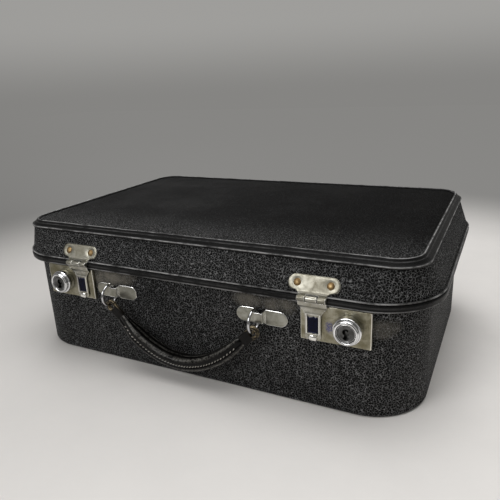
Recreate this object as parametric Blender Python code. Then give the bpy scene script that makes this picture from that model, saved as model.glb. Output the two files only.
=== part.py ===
"""Miniature carry case: a small hard-sided case with a hinged lid, two sliding-knob locks
with hasps, and a drop handle on two rings.

Frame: metres, +X to the right along the front, +Y into the depth, +Z up, with the origin at
the middle of the underside. Rear hinge parts are the front pattern turned half round Z.
"""
import math

import bmesh
import bpy
from mathutils import Matrix, Vector

MM = 0.001
GAP = 0.3 * MM  # clearance between pieces that touch

# Base tray
BASE_LENGTH = 329 * MM
BASE_WIDTH = 221 * MM
BASE_CORNER = 40 * MM
BASE_RIM_Z = 81 * MM
PANEL_THICK = 3 * MM
PANEL_EDGE = 2.5 * MM
SKIN = 1.0 * MM
BOARD = 3.0 * MM
LINING = 0.8 * MM

# Lid: half length, half width and corner radius of the outside at three heights
LID_RIM = (171.4 * MM, 113.5 * MM, 42 * MM, 77.5 * MM)
LID_WAIST = (171.4 * MM, 113.5 * MM, 42 * MM, 83.6 * MM)
LID_EDGE = (162.6 * MM, 104.7 * MM, 21 * MM, 103.8 * MM)
LID_TOP = (159.6 * MM, 101.7 * MM, 18 * MM, 107.1 * MM)
LID_SKIN = 0.8 * MM
LID_BOARD = 1.6 * MM
LID_LINING = 0.6 * MM
LID_LINING_Z = 84 * MM
BINDING_THICK = 1.6 * MM
BEAD_THICK = 1.4 * MM
BEAD_TOP_Z = 83.2 * MM
CORNER_STEPS = 6

# Hinges and hasps
HASP_X = {"left": -95.3 * MM, "right": 98.2 * MM}
REAR_HINGE_X = 97.7 * MM
KNUCKLE_Y = 117.2 * MM
HASP_AXIS_Z = 81.6 * MM
LID_AXIS_Z = 79.2 * MM
KNUCKLE_RADIUS = 1.55 * MM
KNUCKLE_BORE = 0.85 * MM
PIN_RADIUS = 0.75 * MM
KNUCKLE_SPAN = 19 * MM
MIDDLE_SPAN = 7.4 * MM
KNUCKLE_GAP = 0.4 * MM
SHEET = 1.0 * MM
BAR_LENGTH = 34.5 * MM
BAR_HEIGHT = 10.8 * MM
BAR_Z = 89.4 * MM
RIVET_PITCH = 22 * MM
RIVET_RADIUS = 1.1 * MM
RIVET_HEAD = 2.6 * MM

# Locks
PLATE_X = {"left": (84.7 * MM, 130.6 * MM), "right": (89.4 * MM, 135.3 * MM)}  # from the middle
PLATE_Z = (51.4 * MM, 76.3 * MM)
PLATE_RISE = 2.5 * MM
PLATE_SHEET = 0.8 * MM
KNOB_X = {"left": 113.9 * MM, "right": 121.3 * MM}
KNOB_Z = 64 * MM
KNOB_RADIUS = 9.2 * MM
KNOB_REACH = 8 * MM
PLUG_RADIUS = 6.0 * MM
KNOB_TRAVEL = 4 * MM
CASE_X = (-23.0 * MM, 12.5 * MM)  # case, lug and spring are placed from the knob, outwards
CASE_Z = (55.5 * MM, 72.5 * MM)
CASE_DEPTH = 4.0 * MM
LUG_X = (3.0 * MM, 4.5 * MM)
SPRING_X = (4.9 * MM, 11.2 * MM)
SPRING_RADIUS = 1.15 * MM
SPRING_WIRE = 0.25 * MM
SPRING_TURNS = 5
STRAP_HALF = 5.2 * MM
HASP_BOTTOM_Z = 53.2 * MM

# Handle
RING_X = {"left": -63.6 * MM, "right": 58.8 * MM}
BRACKET_X = {"left": -82.4 * MM, "right": 41.8 * MM}  # left-hand end of each
RING_Y = 119.6 * MM
RING_Z = 60.8 * MM
RING_MEAN = 7.7 * MM
RING_WIRE = 0.95 * MM
BRIDGE_HALF = 3.4 * MM
BRIDGE_STANDOFF = 3.7 * MM
GRIP_MIDDLE = (RING_X["left"] + RING_X["right"]) / 2
GRIP_X = 52.5 * MM
GRIP_DROP = 17 * MM
GRIP_RISE = 28 * MM
GRIP_IN_PLANE = 5.3 * MM
GRIP_DEPTH = 6.2 * MM
LEATHER = 1.6 * MM

# Planes that several parts share: base front, lock plate face, bolt, spring axis
FRONT = -BASE_WIDTH / 2
FACE = FRONT - GAP - PLATE_RISE
BOLT_Y = (FACE + PLATE_SHEET + 0.3 * MM, FACE + PLATE_SHEET + 1.1 * MM)
SPRING_Y = FRONT + 1.5 * MM

MATERIALS = {
    "leatherette": ((0.018, 0.018, 0.019), 0.55, 0.0),
    "board": ((0.36, 0.25, 0.15), 0.85, 0.0),
    "lining": ((0.33, 0.30, 0.27), 0.9, 0.0),
    "binding": ((0.014, 0.014, 0.015), 0.4, 0.0),
    "nickel": ((0.62, 0.58, 0.50), 0.34, 1.0),
    "chrome": ((0.74, 0.74, 0.75), 0.12, 1.0),
    "brass": ((0.58, 0.38, 0.17), 0.35, 1.0),
    "steel": ((0.45, 0.45, 0.46), 0.35, 1.0),
    "film": ((0.012, 0.016, 0.07), 0.3, 0.0),
    "handle_leather": ((0.012, 0.011, 0.011), 0.3, 0.0),
    "worn_leather": ((0.22, 0.16, 0.09), 0.6, 0.0),
}


# ---------------------------------------------------------------- shape helpers

def material(name):
    """Principled material from the table above."""
    found = bpy.data.materials.get(name)
    if found:
        return found
    colour, roughness, metallic = MATERIALS[name]
    made = bpy.data.materials.new(name)
    made.use_nodes = True
    shader = made.node_tree.nodes["Principled BSDF"]
    shader.inputs["Base Color"].default_value = (*colour, 1.0)
    shader.inputs["Roughness"].default_value = roughness
    shader.inputs["Metallic"].default_value = metallic
    return made


def joint(name, pivot):
    """Empty on a joint's axis, the parent of what moves there."""
    empty = bpy.data.objects.new(name, None)
    empty.location = pivot
    bpy.context.collection.objects.link(empty)
    return empty


def solid(name, rings_list, finish, parent=None, closed=False):
    """One object from one or more skinned bodies; each body is a list of equal rings."""
    pivot = Vector(parent.location) if parent else Vector((0, 0, 0))
    mesh = bpy.data.meshes.new(name)
    build = bmesh.new()
    for rings in rings_list:
        rows = [[build.verts.new(Vector(p) - pivot) for p in ring] for ring in rings]
        count = len(rows[0])
        pairs = list(zip(rows, rows[1:]))
        if closed:
            pairs.append((rows[-1], rows[0]))
        for low, high in pairs:
            for k in range(count):
                after = (k + 1) % count
                build.faces.new((low[k], low[after], high[after], high[k]))
        if not closed:
            build.faces.new(rows[0][::-1])
            build.faces.new(rows[-1])
    bmesh.ops.recalc_face_normals(build, faces=build.faces)
    build.to_mesh(mesh)
    build.free()
    mesh.shade_smooth()
    mesh.set_sharp_from_angle(angle=math.radians(32))
    made = bpy.data.objects.new(name, mesh)
    made.parent = parent
    mesh.materials.append(material(finish))
    bpy.context.collection.objects.link(made)
    return made


def helper(rings, closed=False):
    """A cutter or an added lump for a Boolean, left out of the model itself."""
    made = solid("helper", [rings], "steel", closed=closed)
    made.hide_render = True
    made.display_type = "WIRE"
    return made


def combine(target, other, operation):
    """Boolean of one object onto another."""
    step = target.modifiers.new(operation.lower(), "BOOLEAN")
    step.operation = operation
    step.object = other
    step.solver = "EXACT"


def cut(target, *others):
    for other in others:
        combine(target, other, "DIFFERENCE")


def join(target, *others):
    for other in others:
        combine(target, other, "UNION")


def outline(half_x, half_y, radius, z, inset=0.0):
    """Rounded rectangle at height z, counter-clockwise, shrunk by inset."""
    hx, hy, r = half_x - inset, half_y - inset, radius - inset
    points = []
    for sx, sy, start in ((1, 1, 0), (-1, 1, 90), (-1, -1, 180), (1, -1, 270)):
        for step in range(CORNER_STEPS + 1):
            turn = math.radians(start + 90 * step / CORNER_STEPS)
            points.append((sx * (hx - r) + r * math.cos(turn), sy * (hy - r) + r * math.sin(turn), z))
    return points


def block(low, high, turn=None):
    """Two rings of a box, optionally carried by a matrix."""
    (x0, y0, z0), (x1, y1, z1) = low, high
    rings = [[(x0, y0, z), (x1, y0, z), (x1, y1, z), (x0, y1, z)] for z in (z0, z1)]
    return carried(rings, turn)


def carried(rings, turn):
    """Rings moved by a matrix, or left alone where there is none."""
    if turn is None:
        return rings
    return [[turn @ Vector(p) for p in ring] for ring in rings]


def turned(profile, centre, axis, sides, turn=None):
    """Rings of a turned body: profile lists (distance along axis, radius)."""
    along, u, v = {
        "X": ((1, 0, 0), (0, 1, 0), (0, 0, 1)),
        "Y": ((0, 1, 0), (0, 0, 1), (1, 0, 0)),
    }[axis]
    rings = []
    for distance, radius in profile:
        ring = []
        for k in range(sides):
            angle = 2 * math.pi * (k + 0.5) / sides
            c, s = radius * math.cos(angle), radius * math.sin(angle)
            ring.append(Vector([centre[i] + along[i] * distance + u[i] * c + v[i] * s for i in range(3)]))
        rings.append(ring)
    return carried(rings, turn)


def rod(x0, x1, y, z, radius, sides, turn=None):
    """Cylinder along X."""
    return turned([(0, radius), (x1 - x0, radius)], (x0, y, z), "X", sides, turn)


def swept_section(section, x0, x1, turn=None):
    """A closed (y, z) section drawn along X."""
    return carried([[(x, y, z) for y, z in section] for x in (x0, x1)], turn)


def flipped(rings, side):
    """Mirror rings in X for the left-hand copy."""
    return [[Vector((side * Vector(p).x, Vector(p).y, Vector(p).z)) for p in ring] for ring in rings]


BACK = Matrix.Rotation(math.pi, 4, "Z")


# ---------------------------------------------------------------- case walls

def lid_wall(z):
    """Half width of the lid's outside at height z on its sloping part."""
    share = (z - LID_WAIST[3]) / (LID_EDGE[3] - LID_WAIST[3])
    return LID_WAIST[1] + share * (LID_EDGE[1] - LID_WAIST[1])


LID_SLOPE = math.atan2(LID_WAIST[1] - LID_EDGE[1], LID_EDGE[3] - LID_WAIST[3])


def wall_matrix(x, z):
    """Local frame on the lid's front wall: X along it, -Y outwards, Z up the slope."""
    return Matrix.Translation((x, -lid_wall(z), z)) @ Matrix.Rotation(-LID_SLOPE, 4, "X")


def rivet_places():
    """Frames of the lid bars' rivets, front and back."""
    for turn, centres in ((Matrix.Identity(4), HASP_X.values()), (BACK, (-REAR_HINGE_X, REAR_HINGE_X))):
        for centre in centres:
            for offset in (-RIVET_PITCH / 2, RIVET_PITCH / 2):
                yield turn @ wall_matrix(centre + offset, BAR_Z)


def shell(levels, thick, start):
    """Closed wall between an outside and an inside offset from the same levels."""
    outside = [outline(hx, hy, r, z, start) for hx, hy, r, z in levels]
    inside = [outline(hx, hy, r, z, start + thick) for hx, hy, r, z in reversed(levels)]
    return outside + inside


def base_levels(low, high):
    """The base's vertical wall between two heights."""
    half = (BASE_LENGTH / 2, BASE_WIDTH / 2, BASE_CORNER)
    return [(*half, low), (*half, high)]


def make_base():
    """Bottom panel, leatherette skin, board walls and the paper lining."""
    half = (BASE_LENGTH / 2, BASE_WIDTH / 2, BASE_CORNER)
    edge = [outline(*half, 0, PANEL_EDGE), outline(*half, 0.25 * PANEL_EDGE, 0.35 * PANEL_EDGE),
            outline(*half, PANEL_EDGE), outline(*half, PANEL_THICK)]
    solid("base_bottom_panel", [edge], "leatherette")
    low = PANEL_THICK + GAP
    cover = solid("base_cover", [shell(base_levels(low, BASE_RIM_Z), SKIN, 0)], "leatherette", closed=True)
    start = SKIN + GAP
    frame = solid("base_frame", [shell(base_levels(low, BASE_RIM_Z), BOARD, start)], "board", closed=True)
    start += BOARD + GAP
    tray = [outline(*half, low, start), outline(*half, BASE_RIM_Z, start),
            outline(*half, BASE_RIM_Z, start + LINING), outline(*half, low + LINING, start + LINING)]
    solid("base_lining", [tray], "lining")
    return cover, frame


def make_lid(hinge):
    """Skin, board walls, top board and lining, all shrunk inwards from the same levels."""
    levels = [LID_RIM, LID_WAIST, LID_EDGE, LID_TOP]
    outside = [outline(*level) for level in reversed(levels)]
    inside = [outline(*level[:3], min(level[3], LID_TOP[3] - LID_SKIN), LID_SKIN) for level in levels]
    cover = solid("lid_cover", [outside + inside], "leatherette", hinge)
    start = LID_SKIN + GAP
    top_z = LID_TOP[3] - LID_SKIN - GAP
    panel_low = top_z - BOARD
    share = (panel_low - GAP - LID_WAIST[3]) / (LID_EDGE[3] - LID_WAIST[3])
    upper = [LID_WAIST[i] + share * (LID_EDGE[i] - LID_WAIST[i]) for i in range(4)]
    frame = solid("lid_frame", [shell([LID_RIM, LID_WAIST, upper], LID_BOARD, start)], "board", hinge,
                  closed=True)
    panel = [outline(*LID_TOP[:3], z, start + GAP) for z in (panel_low, top_z)]
    solid("lid_top_board", [panel], "board", hinge)
    start += LID_BOARD + GAP
    cup = []
    for z, extra in ((LID_LINING_Z, 0), (panel_low - GAP, 0), (panel_low - GAP - LINING, LID_LINING),
                     (LID_LINING_Z, LID_LINING)):
        share = (z - LID_WAIST[3]) / (LID_EDGE[3] - LID_WAIST[3])
        level = [LID_WAIST[i] + share * (LID_EDGE[i] - LID_WAIST[i]) for i in range(3)]
        cup.append(outline(*level, z, start + extra))
    solid("lid_lining", [[cup[1], cup[0], cup[3], cup[2]]], "lining", hinge)
    make_trim(hinge)
    return cover, frame


def make_trim(hinge):
    """Bound top edge and rim bead, both closed loops round the lid."""
    rise, side_low = BINDING_THICK, LID_EDGE[3] - 1.2 * MM
    section = [(-0.85 * MM, side_low), (-rise, side_low), (0.5 * MM - rise, LID_EDGE[3] + 1.4 * MM),
               (1.8 * MM, LID_TOP[3] + rise - 0.6 * MM), (3.6 * MM, LID_TOP[3] + rise),
               (4.6 * MM, LID_TOP[3] + GAP), (2.85 * MM, LID_TOP[3] + GAP), (-0.35 * MM, LID_EDGE[3] + 0.15 * MM)]
    loop = [outline(*LID_EDGE[:3], z, inset) for inset, z in section]
    solid("lid_top_binding", [loop], "binding", hinge, closed=True)
    low, high = LID_RIM[3] - GAP, BEAD_TOP_Z
    bulge = (low * 0.75 + high * 0.25, low * 0.25 + high * 0.75)
    bead = [outline(*LID_RIM[:3], low, -GAP), outline(*LID_RIM[:3], low, -GAP - 0.6 * BEAD_THICK),
            outline(*LID_RIM[:3], bulge[0], -GAP - BEAD_THICK),
            outline(*LID_RIM[:3], bulge[1], -GAP - BEAD_THICK),
            outline(*LID_RIM[:3], high, -GAP - 0.6 * BEAD_THICK), outline(*LID_RIM[:3], high, -GAP)]
    solid("lid_rim_bead", [bead], "binding", hinge, closed=True)


# ---------------------------------------------------------------- hinge bars and hasps

def rounded_bar(centre_x):
    """Rounded bar lying on the lid's front wall."""
    place = wall_matrix(centre_x, BAR_Z)
    rings = []
    for y, shrink in ((-GAP, 0), (-GAP - 0.6 * SHEET, 0), (-GAP - SHEET, 0.6 * SHEET)):
        half, r = BAR_LENGTH / 2 - shrink, BAR_HEIGHT / 2 - shrink
        ring = []
        for side, start in ((1, -90), (-1, 90)):
            for step in range(9):
                turn = math.radians(start + 180 * step / 8)
                ring.append((side * (half - r) + r * math.cos(turn), y, r * math.sin(turn)))
        rings.append(ring)
    return carried(rings, place)


def make_lid_bar(name, centre_x, axis_z, turn, parent):
    """Riveted bar with two outer knuckles: carries a hasp in front, the lid's hinge behind."""
    bar = solid(name, [carried(rounded_bar(centre_x), turn)], "nickel", parent)
    half = KNUCKLE_SPAN / 2
    neck = [(-113.6 * MM, 84.9 * MM), (-115.5 * MM, 83.6 * MM), (-115.5 * MM, axis_z),
            (-116.6 * MM, axis_z), (-116.5 * MM, 84.1 * MM), (-113.9 * MM, 86.4 * MM)]
    join(bar, helper(swept_section(neck, centre_x - half, centre_x + half, turn)),
         helper(rod(centre_x - half, centre_x + half, -KNUCKLE_Y, axis_z, KNUCKLE_RADIUS, 16, turn)))
    slot = MIDDLE_SPAN / 2 + KNUCKLE_GAP
    cut(bar, helper(rod(centre_x - 2 * half, centre_x + 2 * half, -KNUCKLE_Y, axis_z, KNUCKLE_BORE, 12, turn)),
        helper(block((centre_x - slot, -KNUCKLE_Y - 3 * MM, axis_z - 3 * MM),
                     (centre_x + slot, -115.2 * MM, axis_z + 2.4 * MM), turn)))
    for offset in (-RIVET_PITCH / 2, RIVET_PITCH / 2):
        place = turn @ wall_matrix(centre_x + offset, BAR_Z)
        hole = turned([(-3 * MM, RIVET_RADIUS + 0.2 * MM), (3 * MM, RIVET_RADIUS + 0.2 * MM)],
                      (0, 0, 0), "Y", 10, place)
        cut(bar, helper(hole))


def make_pin(name, centre_x, axis_z, turn, parent):
    """Steel pin through a bar's knuckles."""
    half = KNUCKLE_SPAN / 2 - 0.1 * MM
    solid(name, [rod(centre_x - half, centre_x + half, -KNUCKLE_Y, axis_z, PIN_RADIUS, 12, turn)],
          "steel", parent)


def strap_rows(centre_x, rows):
    """A bent strap from rows of (height, half width, distance in front of y = 0)."""
    rings = []
    for z, half, y in rows:
        rings.append([(centre_x - half, -y - SHEET / 2, z), (centre_x + half, -y - SHEET / 2, z),
                      (centre_x + half, -y + SHEET / 2, z), (centre_x - half, -y + SHEET / 2, z)])
    return rings


def add_middle_knuckle(strap, centre_x, axis_z, top_z, turn):
    """Barrel between a lid bar's two knuckles, bored for the pin."""
    half = MIDDLE_SPAN / 2
    tongue = block((centre_x - half, -117.2 * MM, top_z - 1.5 * MM), (centre_x + half, -116.2 * MM, axis_z), turn)
    barrel = rod(centre_x - half, centre_x + half, -KNUCKLE_Y, axis_z, KNUCKLE_RADIUS, 16, turn)
    join(strap, helper(tongue), helper(barrel))
    cut(strap, helper(rod(centre_x - 2 * half, centre_x + 2 * half, -KNUCKLE_Y, axis_z, KNUCKLE_BORE, 12, turn)))


def make_hasp(label, parent):
    """Hanging strap with a winged top, a recessed window, its film and the catch behind."""
    centre = HASP_X[label]
    wing = KNUCKLE_SPAN / 2
    top = HASP_AXIS_Z - 2.0 * MM
    strap_y = -FACE + 0.4 * MM + SHEET / 2
    rows = [(top, wing, 116.7 * MM), (77.2 * MM, wing, 116.3 * MM), (74.4 * MM, 0.92 * wing, 114.8 * MM),
            (73.2 * MM, 0.78 * wing, strap_y), (72.0 * MM, 0.66 * wing, strap_y), (70.6 * MM, 0.58 * wing, strap_y),
            (69.0 * MM, STRAP_HALF, strap_y), (HASP_BOTTOM_Z + 0.8 * MM, STRAP_HALF, strap_y),
            (HASP_BOTTOM_Z, STRAP_HALF - 0.9 * MM, strap_y)]
    hasp = solid("hasp_" + label, [strap_rows(centre, rows)], "nickel", parent)
    add_middle_knuckle(hasp, centre, HASP_AXIS_Z, top, Matrix.Identity(4))
    catch = block((centre - 1.2 * MM, FACE - 0.6 * MM, 55.5 * MM), (centre + 1.2 * MM, FACE + 1.5 * MM, 58.5 * MM))
    join(hasp, helper(catch))
    window = (3.75 * MM, 56.9 * MM, 70.0 * MM)
    front = -strap_y - SHEET / 2
    cut(hasp, helper(block((centre - window[0], front - 1 * MM, window[1]),
                           (centre + window[0], front + 0.55 * MM, window[2]))))
    rim = 0.15 * MM
    film = block((centre - window[0] + rim, front + 0.1 * MM, window[1] + rim),
                 (centre + window[0] - rim, front + 0.35 * MM, window[2] - rim))
    solid("hasp_film_" + label, [film], "film", parent)


def rivet(place, depth):
    """Domed head outside and a shank into the wall."""
    head = -GAP - SHEET - GAP
    profile = [(head - 1.1 * MM, 0.6 * RIVET_HEAD), (head - 0.6 * MM, 0.92 * RIVET_HEAD), (head, RIVET_HEAD),
               (head, RIVET_RADIUS), (depth, RIVET_RADIUS)]
    return turned(profile, (0, 0, 0), "Y", 12, place)


def make_hinges(lid, root, cover_and_frame):
    """Lid bars, pins and rivets in front and behind, and the rear hinge's base leaves."""
    sides = (("left", -1), ("right", 1))
    for label, side in sides:
        make_lid_bar("hasp_plate_" + label, HASP_X[label], HASP_AXIS_Z, Matrix.Identity(4), lid)
        make_pin("hasp_pin_" + label, HASP_X[label], HASP_AXIS_Z, Matrix.Identity(4), lid)
        make_lid_bar("lid_hinge_leaf_" + label, -side * REAR_HINGE_X, LID_AXIS_Z, BACK, lid)
        make_pin("hinge_pin_" + label, -side * REAR_HINGE_X, LID_AXIS_Z, BACK, lid)
        make_base_leaf("base_hinge_leaf_" + label, -side * REAR_HINGE_X, root)
    depth = LID_SKIN + GAP + LID_BOARD - 0.4 * MM
    names = [group + str(n) for group in ("hasp_plate_rivet_", "lid_hinge_rivet_") for n in (1, 2, 3, 4)]
    for name, place in zip(names, rivet_places()):
        solid(name, [rivet(place, depth)], "brass", lid)
    holes = [turned([(-2 * MM, RIVET_RADIUS + 0.3 * MM), (6 * MM, RIVET_RADIUS + 0.3 * MM)],
                    (0, 0, 0), "Y", 8, place) for place in rivet_places()]
    drill(cover_and_frame, holes)


def drill(targets, holes):
    """One cutter of several separate bodies, taken out of each target."""
    cutter = solid("helper", holes, "steel")
    cutter.hide_render = True
    cutter.display_type = "WIRE"
    for target in targets:
        cut(target, cutter)


def leaf_rivet_places():
    """Frames of the rear base leaves' rivets."""
    for side in (-1, 1):
        for offset in (-6 * MM, 6 * MM):
            yield BACK @ Matrix.Translation((side * REAR_HINGE_X + offset, FRONT, 64 * MM))


def make_base_leaf(name, centre_x, parent):
    """Rear leaf on the base: flat plate, bent out under the bead, middle knuckle on top."""
    wing = KNUCKLE_SPAN / 2
    flat = -FRONT + GAP + SHEET / 2
    top = LID_AXIS_Z - 2.0 * MM
    rows = [(top, wing, 116.9 * MM), (76.2 * MM, wing, 116.0 * MM), (73.6 * MM, wing, flat), (60.0 * MM, wing, flat),
            (58.0 * MM, 0.9 * wing, flat), (57.0 * MM, 0.7 * wing, flat)]
    leaf = solid(name, [carried(strap_rows(centre_x, rows), BACK)], "nickel", parent)
    add_middle_knuckle(leaf, centre_x, LID_AXIS_Z, top, BACK)
    for offset in (-6 * MM, 6 * MM):
        place = BACK @ Matrix.Translation((centre_x + offset, FRONT, 64 * MM))
        cut(leaf, helper(turned([(-3 * MM, RIVET_RADIUS + 0.2 * MM), (3 * MM, RIVET_RADIUS + 0.2 * MM)],
                                (0, 0, 0), "Y", 10, place)))


def make_leaf_rivets(root, walls):
    """Rivets of the rear base leaves, and their holes in the walls."""
    depth = SKIN + GAP + BOARD - 0.4 * MM
    for n, place in enumerate(leaf_rivet_places(), 1):
        solid("base_hinge_rivet_" + str(n), [rivet(place, depth)], "brass", root)
    drill(walls, [turned([(-1 * MM, RIVET_RADIUS + 0.3 * MM), (5 * MM, RIVET_RADIUS + 0.3 * MM)],
                         (0, 0, 0), "Y", 8, place) for place in leaf_rivet_places()])


# ---------------------------------------------------------------- locks

def make_lock_plate(label, side):
    """Pressed tray standing proud of the wall, open behind, slotted for knob and catch."""
    inner, outer = PLATE_X[label]
    knob, catch = KNOB_X[label], abs(HASP_X[label])
    plate = solid("lock_plate_" + label, [flipped(block((inner, FACE, PLATE_Z[0]),
                  (outer, FRONT - GAP, PLATE_Z[1])), side)], "nickel")
    t = PLATE_SHEET
    pocket = flipped(block((inner + t, FACE + t, PLATE_Z[0] + t),
                           (outer - t, FRONT + 1 * MM, PLATE_Z[1] - t)), side)
    neck = 3.9 * MM
    knob_slot = flipped(block((knob - neck, FACE - 1 * MM, KNOB_Z - neck),
                              (knob + neck + KNOB_TRAVEL, FACE + 1 * MM, KNOB_Z + neck)), side)
    catch_slot = flipped(block((catch - 1.7 * MM, FACE - 1 * MM, 54.6 * MM),
                               (catch + 1.7 * MM, FACE + 3.5 * MM, PLATE_Z[1] + 2 * MM)), side)
    cut(plate, helper(pocket), helper(knob_slot), helper(catch_slot))


def case_block(label, side, shrink, y0, y1):
    """The lock case's outline, shrunk all round, between two depths."""
    inner, outer = (KNOB_X[label] + reach for reach in CASE_X)
    return flipped(block((inner + shrink, y0, CASE_Z[0] + shrink), (outer - shrink, y1, CASE_Z[1] - shrink)), side)


def make_lock_case(label, side):
    """Open-fronted tray let into the wall behind the plate."""
    wall = 0.7 * MM
    back = FRONT + CASE_DEPTH - 0.2 * MM
    case = solid("lock_case_" + label, [case_block(label, side, GAP, FRONT, back)], "steel")
    cut(case, helper(case_block(label, side, GAP + wall, FRONT - 1 * MM, back - wall)))


def make_bolt(label, side, parent):
    """Flat bolt that slides with the knob; its lug bears on the spring."""
    knob = KNOB_X[label]
    tip = abs(HASP_X[label]) + 1.7 * MM
    bolt = solid("lock_bolt_" + label, [flipped(block((tip, BOLT_Y[0], KNOB_Z - 5 * MM),
                 (knob + 5 * MM, BOLT_Y[1], KNOB_Z + 4 * MM)), side)], "steel", parent)
    lug = flipped(block((knob + LUG_X[0], BOLT_Y[0] + 0.2 * MM, KNOB_Z - 1.6 * MM),
                        (knob + LUG_X[1], SPRING_Y + 1.2 * MM, KNOB_Z + 1.6 * MM)), side)
    join(bolt, helper(lug))


def make_spring(label, side, parent):
    """Coil between the bolt's lug and the case's end wall."""
    steps = SPRING_TURNS * 10
    rings = []
    for k in range(steps + 1):
        angle = 2 * math.pi * k / 10
        x = KNOB_X[label] + SPRING_X[0] + (SPRING_X[1] - SPRING_X[0]) * k / steps
        outward = Vector((0, math.cos(angle), math.sin(angle)))
        centre = Vector((x, SPRING_Y, KNOB_Z)) + outward * SPRING_RADIUS
        rings.append([centre + SPRING_WIRE * (outward * math.cos(a) + Vector((1, 0, 0)) * math.sin(a))
                      for a in (math.radians(t) for t in (45, 135, 225, 315))])
    solid("lock_spring_" + label, [flipped(rings, side)], "steel", parent)


def make_knob(label, side, parent, plug_parent):
    """Stepped chrome knob with a blind bore, and the key plug that turns in it."""
    back = FACE - GAP
    front = back - KNOB_REACH
    bore_floor = front + 6.6 * MM
    bore = PLUG_RADIUS + 0.2 * MM
    centre = (side * KNOB_X[label], 0, KNOB_Z)
    neck_end = BOLT_Y[0] - GAP
    profile = [(neck_end, 3.4 * MM), (back, 3.4 * MM), (back, KNOB_RADIUS), (back - 4.6 * MM, KNOB_RADIUS),
               (back - 5.4 * MM, KNOB_RADIUS - 0.9 * MM), (front + 0.7 * MM, KNOB_RADIUS - 1.1 * MM),
               (front, KNOB_RADIUS - 1.7 * MM), (front, bore), (bore_floor, bore)]
    solid("lock_knob_" + label, [turned(profile, centre, "Y", 28)], "chrome", parent)
    plug_profile = [(bore_floor - GAP, PLUG_RADIUS), (front + 0.7 * MM, PLUG_RADIUS),
                    (front + 0.3 * MM, 0.9 * PLUG_RADIUS)]
    plug = solid("key_plug_" + label, [turned(plug_profile, centre, "Y", 28)], "chrome", plug_parent)
    reach = 5 * MM
    eye = turned([(front - 1 * MM, 1.5 * MM), (front + reach, 1.5 * MM)], centre, "Y", 14)
    slit = block((centre[0] - 0.7 * MM, front - 1 * MM, KNOB_Z - 4.2 * MM),
                 (centre[0] + 0.7 * MM, front + reach, KNOB_Z))
    cut(plug, helper(eye), helper(slit))


def make_locks(walls):
    """Both locks, and the pockets in the walls that hold their cases."""
    pockets = []
    for label, side in (("left", -1), ("right", 1)):
        pivot = (side * KNOB_X[label], FACE, KNOB_Z)
        slide = joint("knob_slide_" + label, pivot)
        turn = joint("plug_turn_" + label, pivot)
        make_lock_plate(label, side)
        make_lock_case(label, side)
        make_bolt(label, side, slide)
        make_spring(label, side, None)
        make_knob(label, side, slide, turn)
        pockets.append(case_block(label, side, 0, FRONT - 1 * MM, FRONT + CASE_DEPTH + 1 * MM))
    drill(walls, pockets)


# ---------------------------------------------------------------- handle

def make_bracket(label, walls_slots):
    """Pressed bar with a short raised bridge and a prong near each end; both face the same way."""
    end, waist = 5.6 * MM, BRIDGE_HALF
    flat, raised = GAP, BRIDGE_STANDOFF
    rows = [(0, 1.4 * MM, flat), (0.8, 3.3 * MM, flat), (2.6, 4.9 * MM, flat), (5.3, end, flat),
            (13.6, end, flat), (14.9, waist, raised), (20.9, waist, raised), (22.2, end, flat),
            (32.7, end, flat), (35.4, 4.9 * MM, flat), (37.2, 3.3 * MM, flat), (38, 1.4 * MM, flat)]
    rings = []
    for along, half, lift in rows:
        x, y = BRACKET_X[label] + along * MM, FRONT - lift
        rings.append([(x, y, RING_Z - half), (x, y, RING_Z + half),
                      (x, y - 0.9 * MM, RING_Z + half), (x, y - 0.9 * MM, RING_Z - half)])
    bracket = solid("handle_bracket_" + label, [rings], "nickel")
    for along in (5 * MM, 33 * MM):
        x = BRACKET_X[label] + along
        prong = block((x - 0.5 * MM, FRONT - 0.6 * MM, RING_Z - 2 * MM), (x + 0.5 * MM, FRONT + 3 * MM, RING_Z + 2 * MM))
        slot = block((x - 0.8 * MM, FRONT - 1 * MM, RING_Z - 2.3 * MM), (x + 0.8 * MM, FRONT + 5 * MM, RING_Z + 2.3 * MM))
        join(bracket, helper(prong))
        walls_slots.append(slot)


def make_ring(label, parent):
    """Round wire ring standing across the bracket's bridge."""
    rings = []
    for k in range(28):
        angle = 2 * math.pi * k / 28
        outward = Vector((0, math.cos(angle), math.sin(angle)))
        centre = Vector((RING_X[label], -RING_Y, RING_Z)) + outward * RING_MEAN
        rings.append([centre + RING_WIRE * (outward * math.cos(a) + Vector((1, 0, 0)) * math.sin(a))
                      for a in (2 * math.pi * n / 8 for n in range(8))])
    solid("handle_ring_" + label, [rings], "chrome", parent, closed=True)


def grip_point(share):
    """Point on the grip's centre line and its unit tangent; share runs -1 to 1."""
    x = GRIP_MIDDLE + share * GRIP_X
    slope = 2 * GRIP_RISE * share / GRIP_X
    tangent = Vector((1, 0, slope)).normalized()
    return Vector((x, -RING_Y, GRIP_DROP + GRIP_RISE * share * share)), tangent


def grip_size(share):
    """Full section in the middle, slimmer towards each end."""
    taper = max(0.0, abs(share) - 0.62) / 0.38
    return 1.0 - 0.34 * taper * taper


def grip_rings(section, reach, stations):
    """The given (across, depth) section drawn along the grip's curve."""
    rings = []
    for k in range(stations + 1):
        share = reach * (2 * k / stations - 1)
        centre, tangent = grip_point(share)
        normal = Vector((-tangent.z, 0, tangent.x))
        size = grip_size(share)
        rings.append([centre + normal * (n * size) + Vector((0, d * size, 0)) for n, d in section])
    return rings


def half_section(side):
    """Half of the leather tube's section: arc outside, arc inside, flat lips at the seam."""
    arc = [math.radians(t) for t in range(-90, 91, 30)]
    lip = 0.2 * MM
    outer = [(GRIP_IN_PLANE * math.sin(t), side * (lip + GRIP_DEPTH * math.cos(t))) for t in arc]
    inner = [((GRIP_IN_PLANE - LEATHER) * math.sin(t), side * (lip + (GRIP_DEPTH - LEATHER) * math.cos(t)))
             for t in reversed(arc)]
    return outer + inner


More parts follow.
